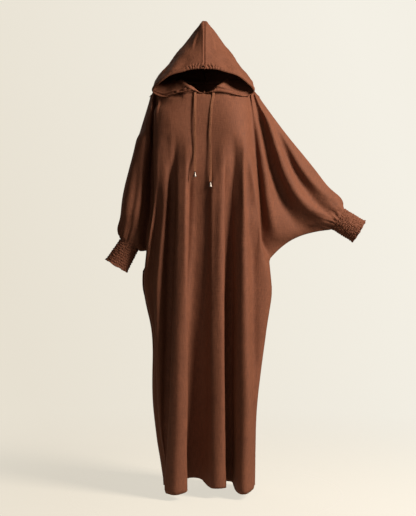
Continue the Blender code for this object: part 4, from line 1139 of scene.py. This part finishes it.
# The floor's radius in metres, and how much of it shows and glows under the hem.
FLOOR_SIZE = 3.6
FLOOR_SHARE = 0.4
FLOOR_GLOW = 0.5
# The share of the backdrop's light that falls on the garment.
AIR_LIGHT = 0.06


def studio_floor():
    """A pale round floor that runs out softly into the backdrop."""
    bpy.ops.object.select_all(action="DESELECT")
    bpy.ops.mesh.primitive_circle_add(vertices=96, radius=FLOOR_SIZE, fill_type="NGON",
                                      location=(0.0, 0.0, FLOOR))
    made = bpy.context.object
    made.name = "studio_floor"
    bpy.ops.object.transform_apply(location=True, rotation=True, scale=True)
    edit(made)
    bpy.ops.mesh.select_all(action="SELECT")
    bpy.ops.mesh.inset(thickness=1.2)
    leave_edit()
    paper, tree, shader = new_material("studio_paper_matt")
    place = add_node(tree, "ShaderNodeTexCoord").outputs["Object"]
    level = add_node(tree, "ShaderNodeVectorMath", {0: place}, operation="MULTIPLY")
    level.inputs[1].default_value = (1.0, 1.0, 0.0)
    away = add_node(tree, "ShaderNodeVectorMath", {0: level.outputs["Vector"]},
                    operation="LENGTH")
    runs_out = add_node(tree, "ShaderNodeMapRange", {"Value": away.outputs["Value"]},
                        interpolation_type="SMOOTHSTEP", From_Min=0.35, From_Max=2.4,
                        To_Min=FLOOR_SHARE, To_Max=0.0)
    set_inputs(shader, Alpha=runs_out.outputs["Result"], Base_Color=linear("#C4BEB2"),
               Roughness=0.95, Specular_IOR_Level=0.1, Emission_Color=linear("#EFE8DA"),
               Emission_Strength=FLOOR_GLOW)
    made.data.materials.append(paper)


def area_light(name, place, aim, size, power, colour):
    light = bpy.data.lights.new(name, "AREA")
    light.shape = "RECTANGLE"
    light.size, light.size_y = size
    light.energy = power
    light.color = linear(colour)[:3]
    made = bpy.data.objects.new(name, light)
    made.location = place
    made.rotation_euler = (Vector(aim) - Vector(place)).to_track_quat("-Z", "Y").to_euler()
    bpy.context.scene.collection.objects.link(made)


def studio_air():
    """The pale backdrop as the camera sees it, with painted light that makes it lighter towards the
    right and the top, and a much dimmer light all round.
    """
    world = bpy.data.worlds.new("studio")
    world.use_nodes = True
    tree = world.node_tree
    seen = next(node for node in tree.nodes if node.type == "BACKGROUND")
    # Painted light: the backdrop is drawn lighter towards the right, and a little towards the top,
    # where the key light falls on it.
    way = add_node(tree, "ShaderNodeTexCoord").outputs["Generated"]
    parts = add_node(tree, "ShaderNodeSeparateXYZ", {0: way})
    slant = add_node(tree, "ShaderNodeMath", {0: parts.outputs["Z"], 2: parts.outputs["X"]},
                     operation="MULTIPLY_ADD")
    slant.inputs[1].default_value = 0.35
    across = add_node(tree, "ShaderNodeMapRange", {"Value": slant.outputs["Value"]},
                      From_Min=-0.2, From_Max=0.2)
    colours = add_node(tree, "ShaderNodeValToRGB", {"Fac": across.outputs["Result"]})
    colours.color_ramp.elements[0].color = linear("#E7E0D1")
    colours.color_ramp.elements[1].color = linear("#F4F0E5")
    set_inputs(seen, Color=colours.outputs["Color"])
    air = add_node(tree, "ShaderNodeBackground", Strength=AIR_LIGHT, Color=linear("#EFE9DF"))
    look = add_node(tree, "ShaderNodeLightPath")
    both = add_node(tree, "ShaderNodeMixShader", {0: look.outputs["Is Camera Ray"],
                                                  1: air.outputs["Background"],
                                                  2: seen.outputs["Background"]})
    surface = next(node for node in tree.nodes if node.type == "OUTPUT_WORLD")
    set_inputs(surface, Surface=both.outputs["Shader"])
    bpy.context.scene.world = world


studio_floor()
area_light("key", (3.1, -2.0, 1.6), (0.0, 0.0, -0.4), (1.2, 1.8), 325, "#FFF4E8")
area_light("fill", (-1.6, -3.9, 0.2), (0.0, 0.0, -0.6), (2.4, 2.4), 12, "#F4F0EA")
area_light("back", (-1.8, 3.0, 1.4), (0.0, 0.0, -0.5), (2.0, 2.0), 16, "#FFF8EE")
studio_air()
bpy.context.scene.view_settings.view_transform = "Standard"
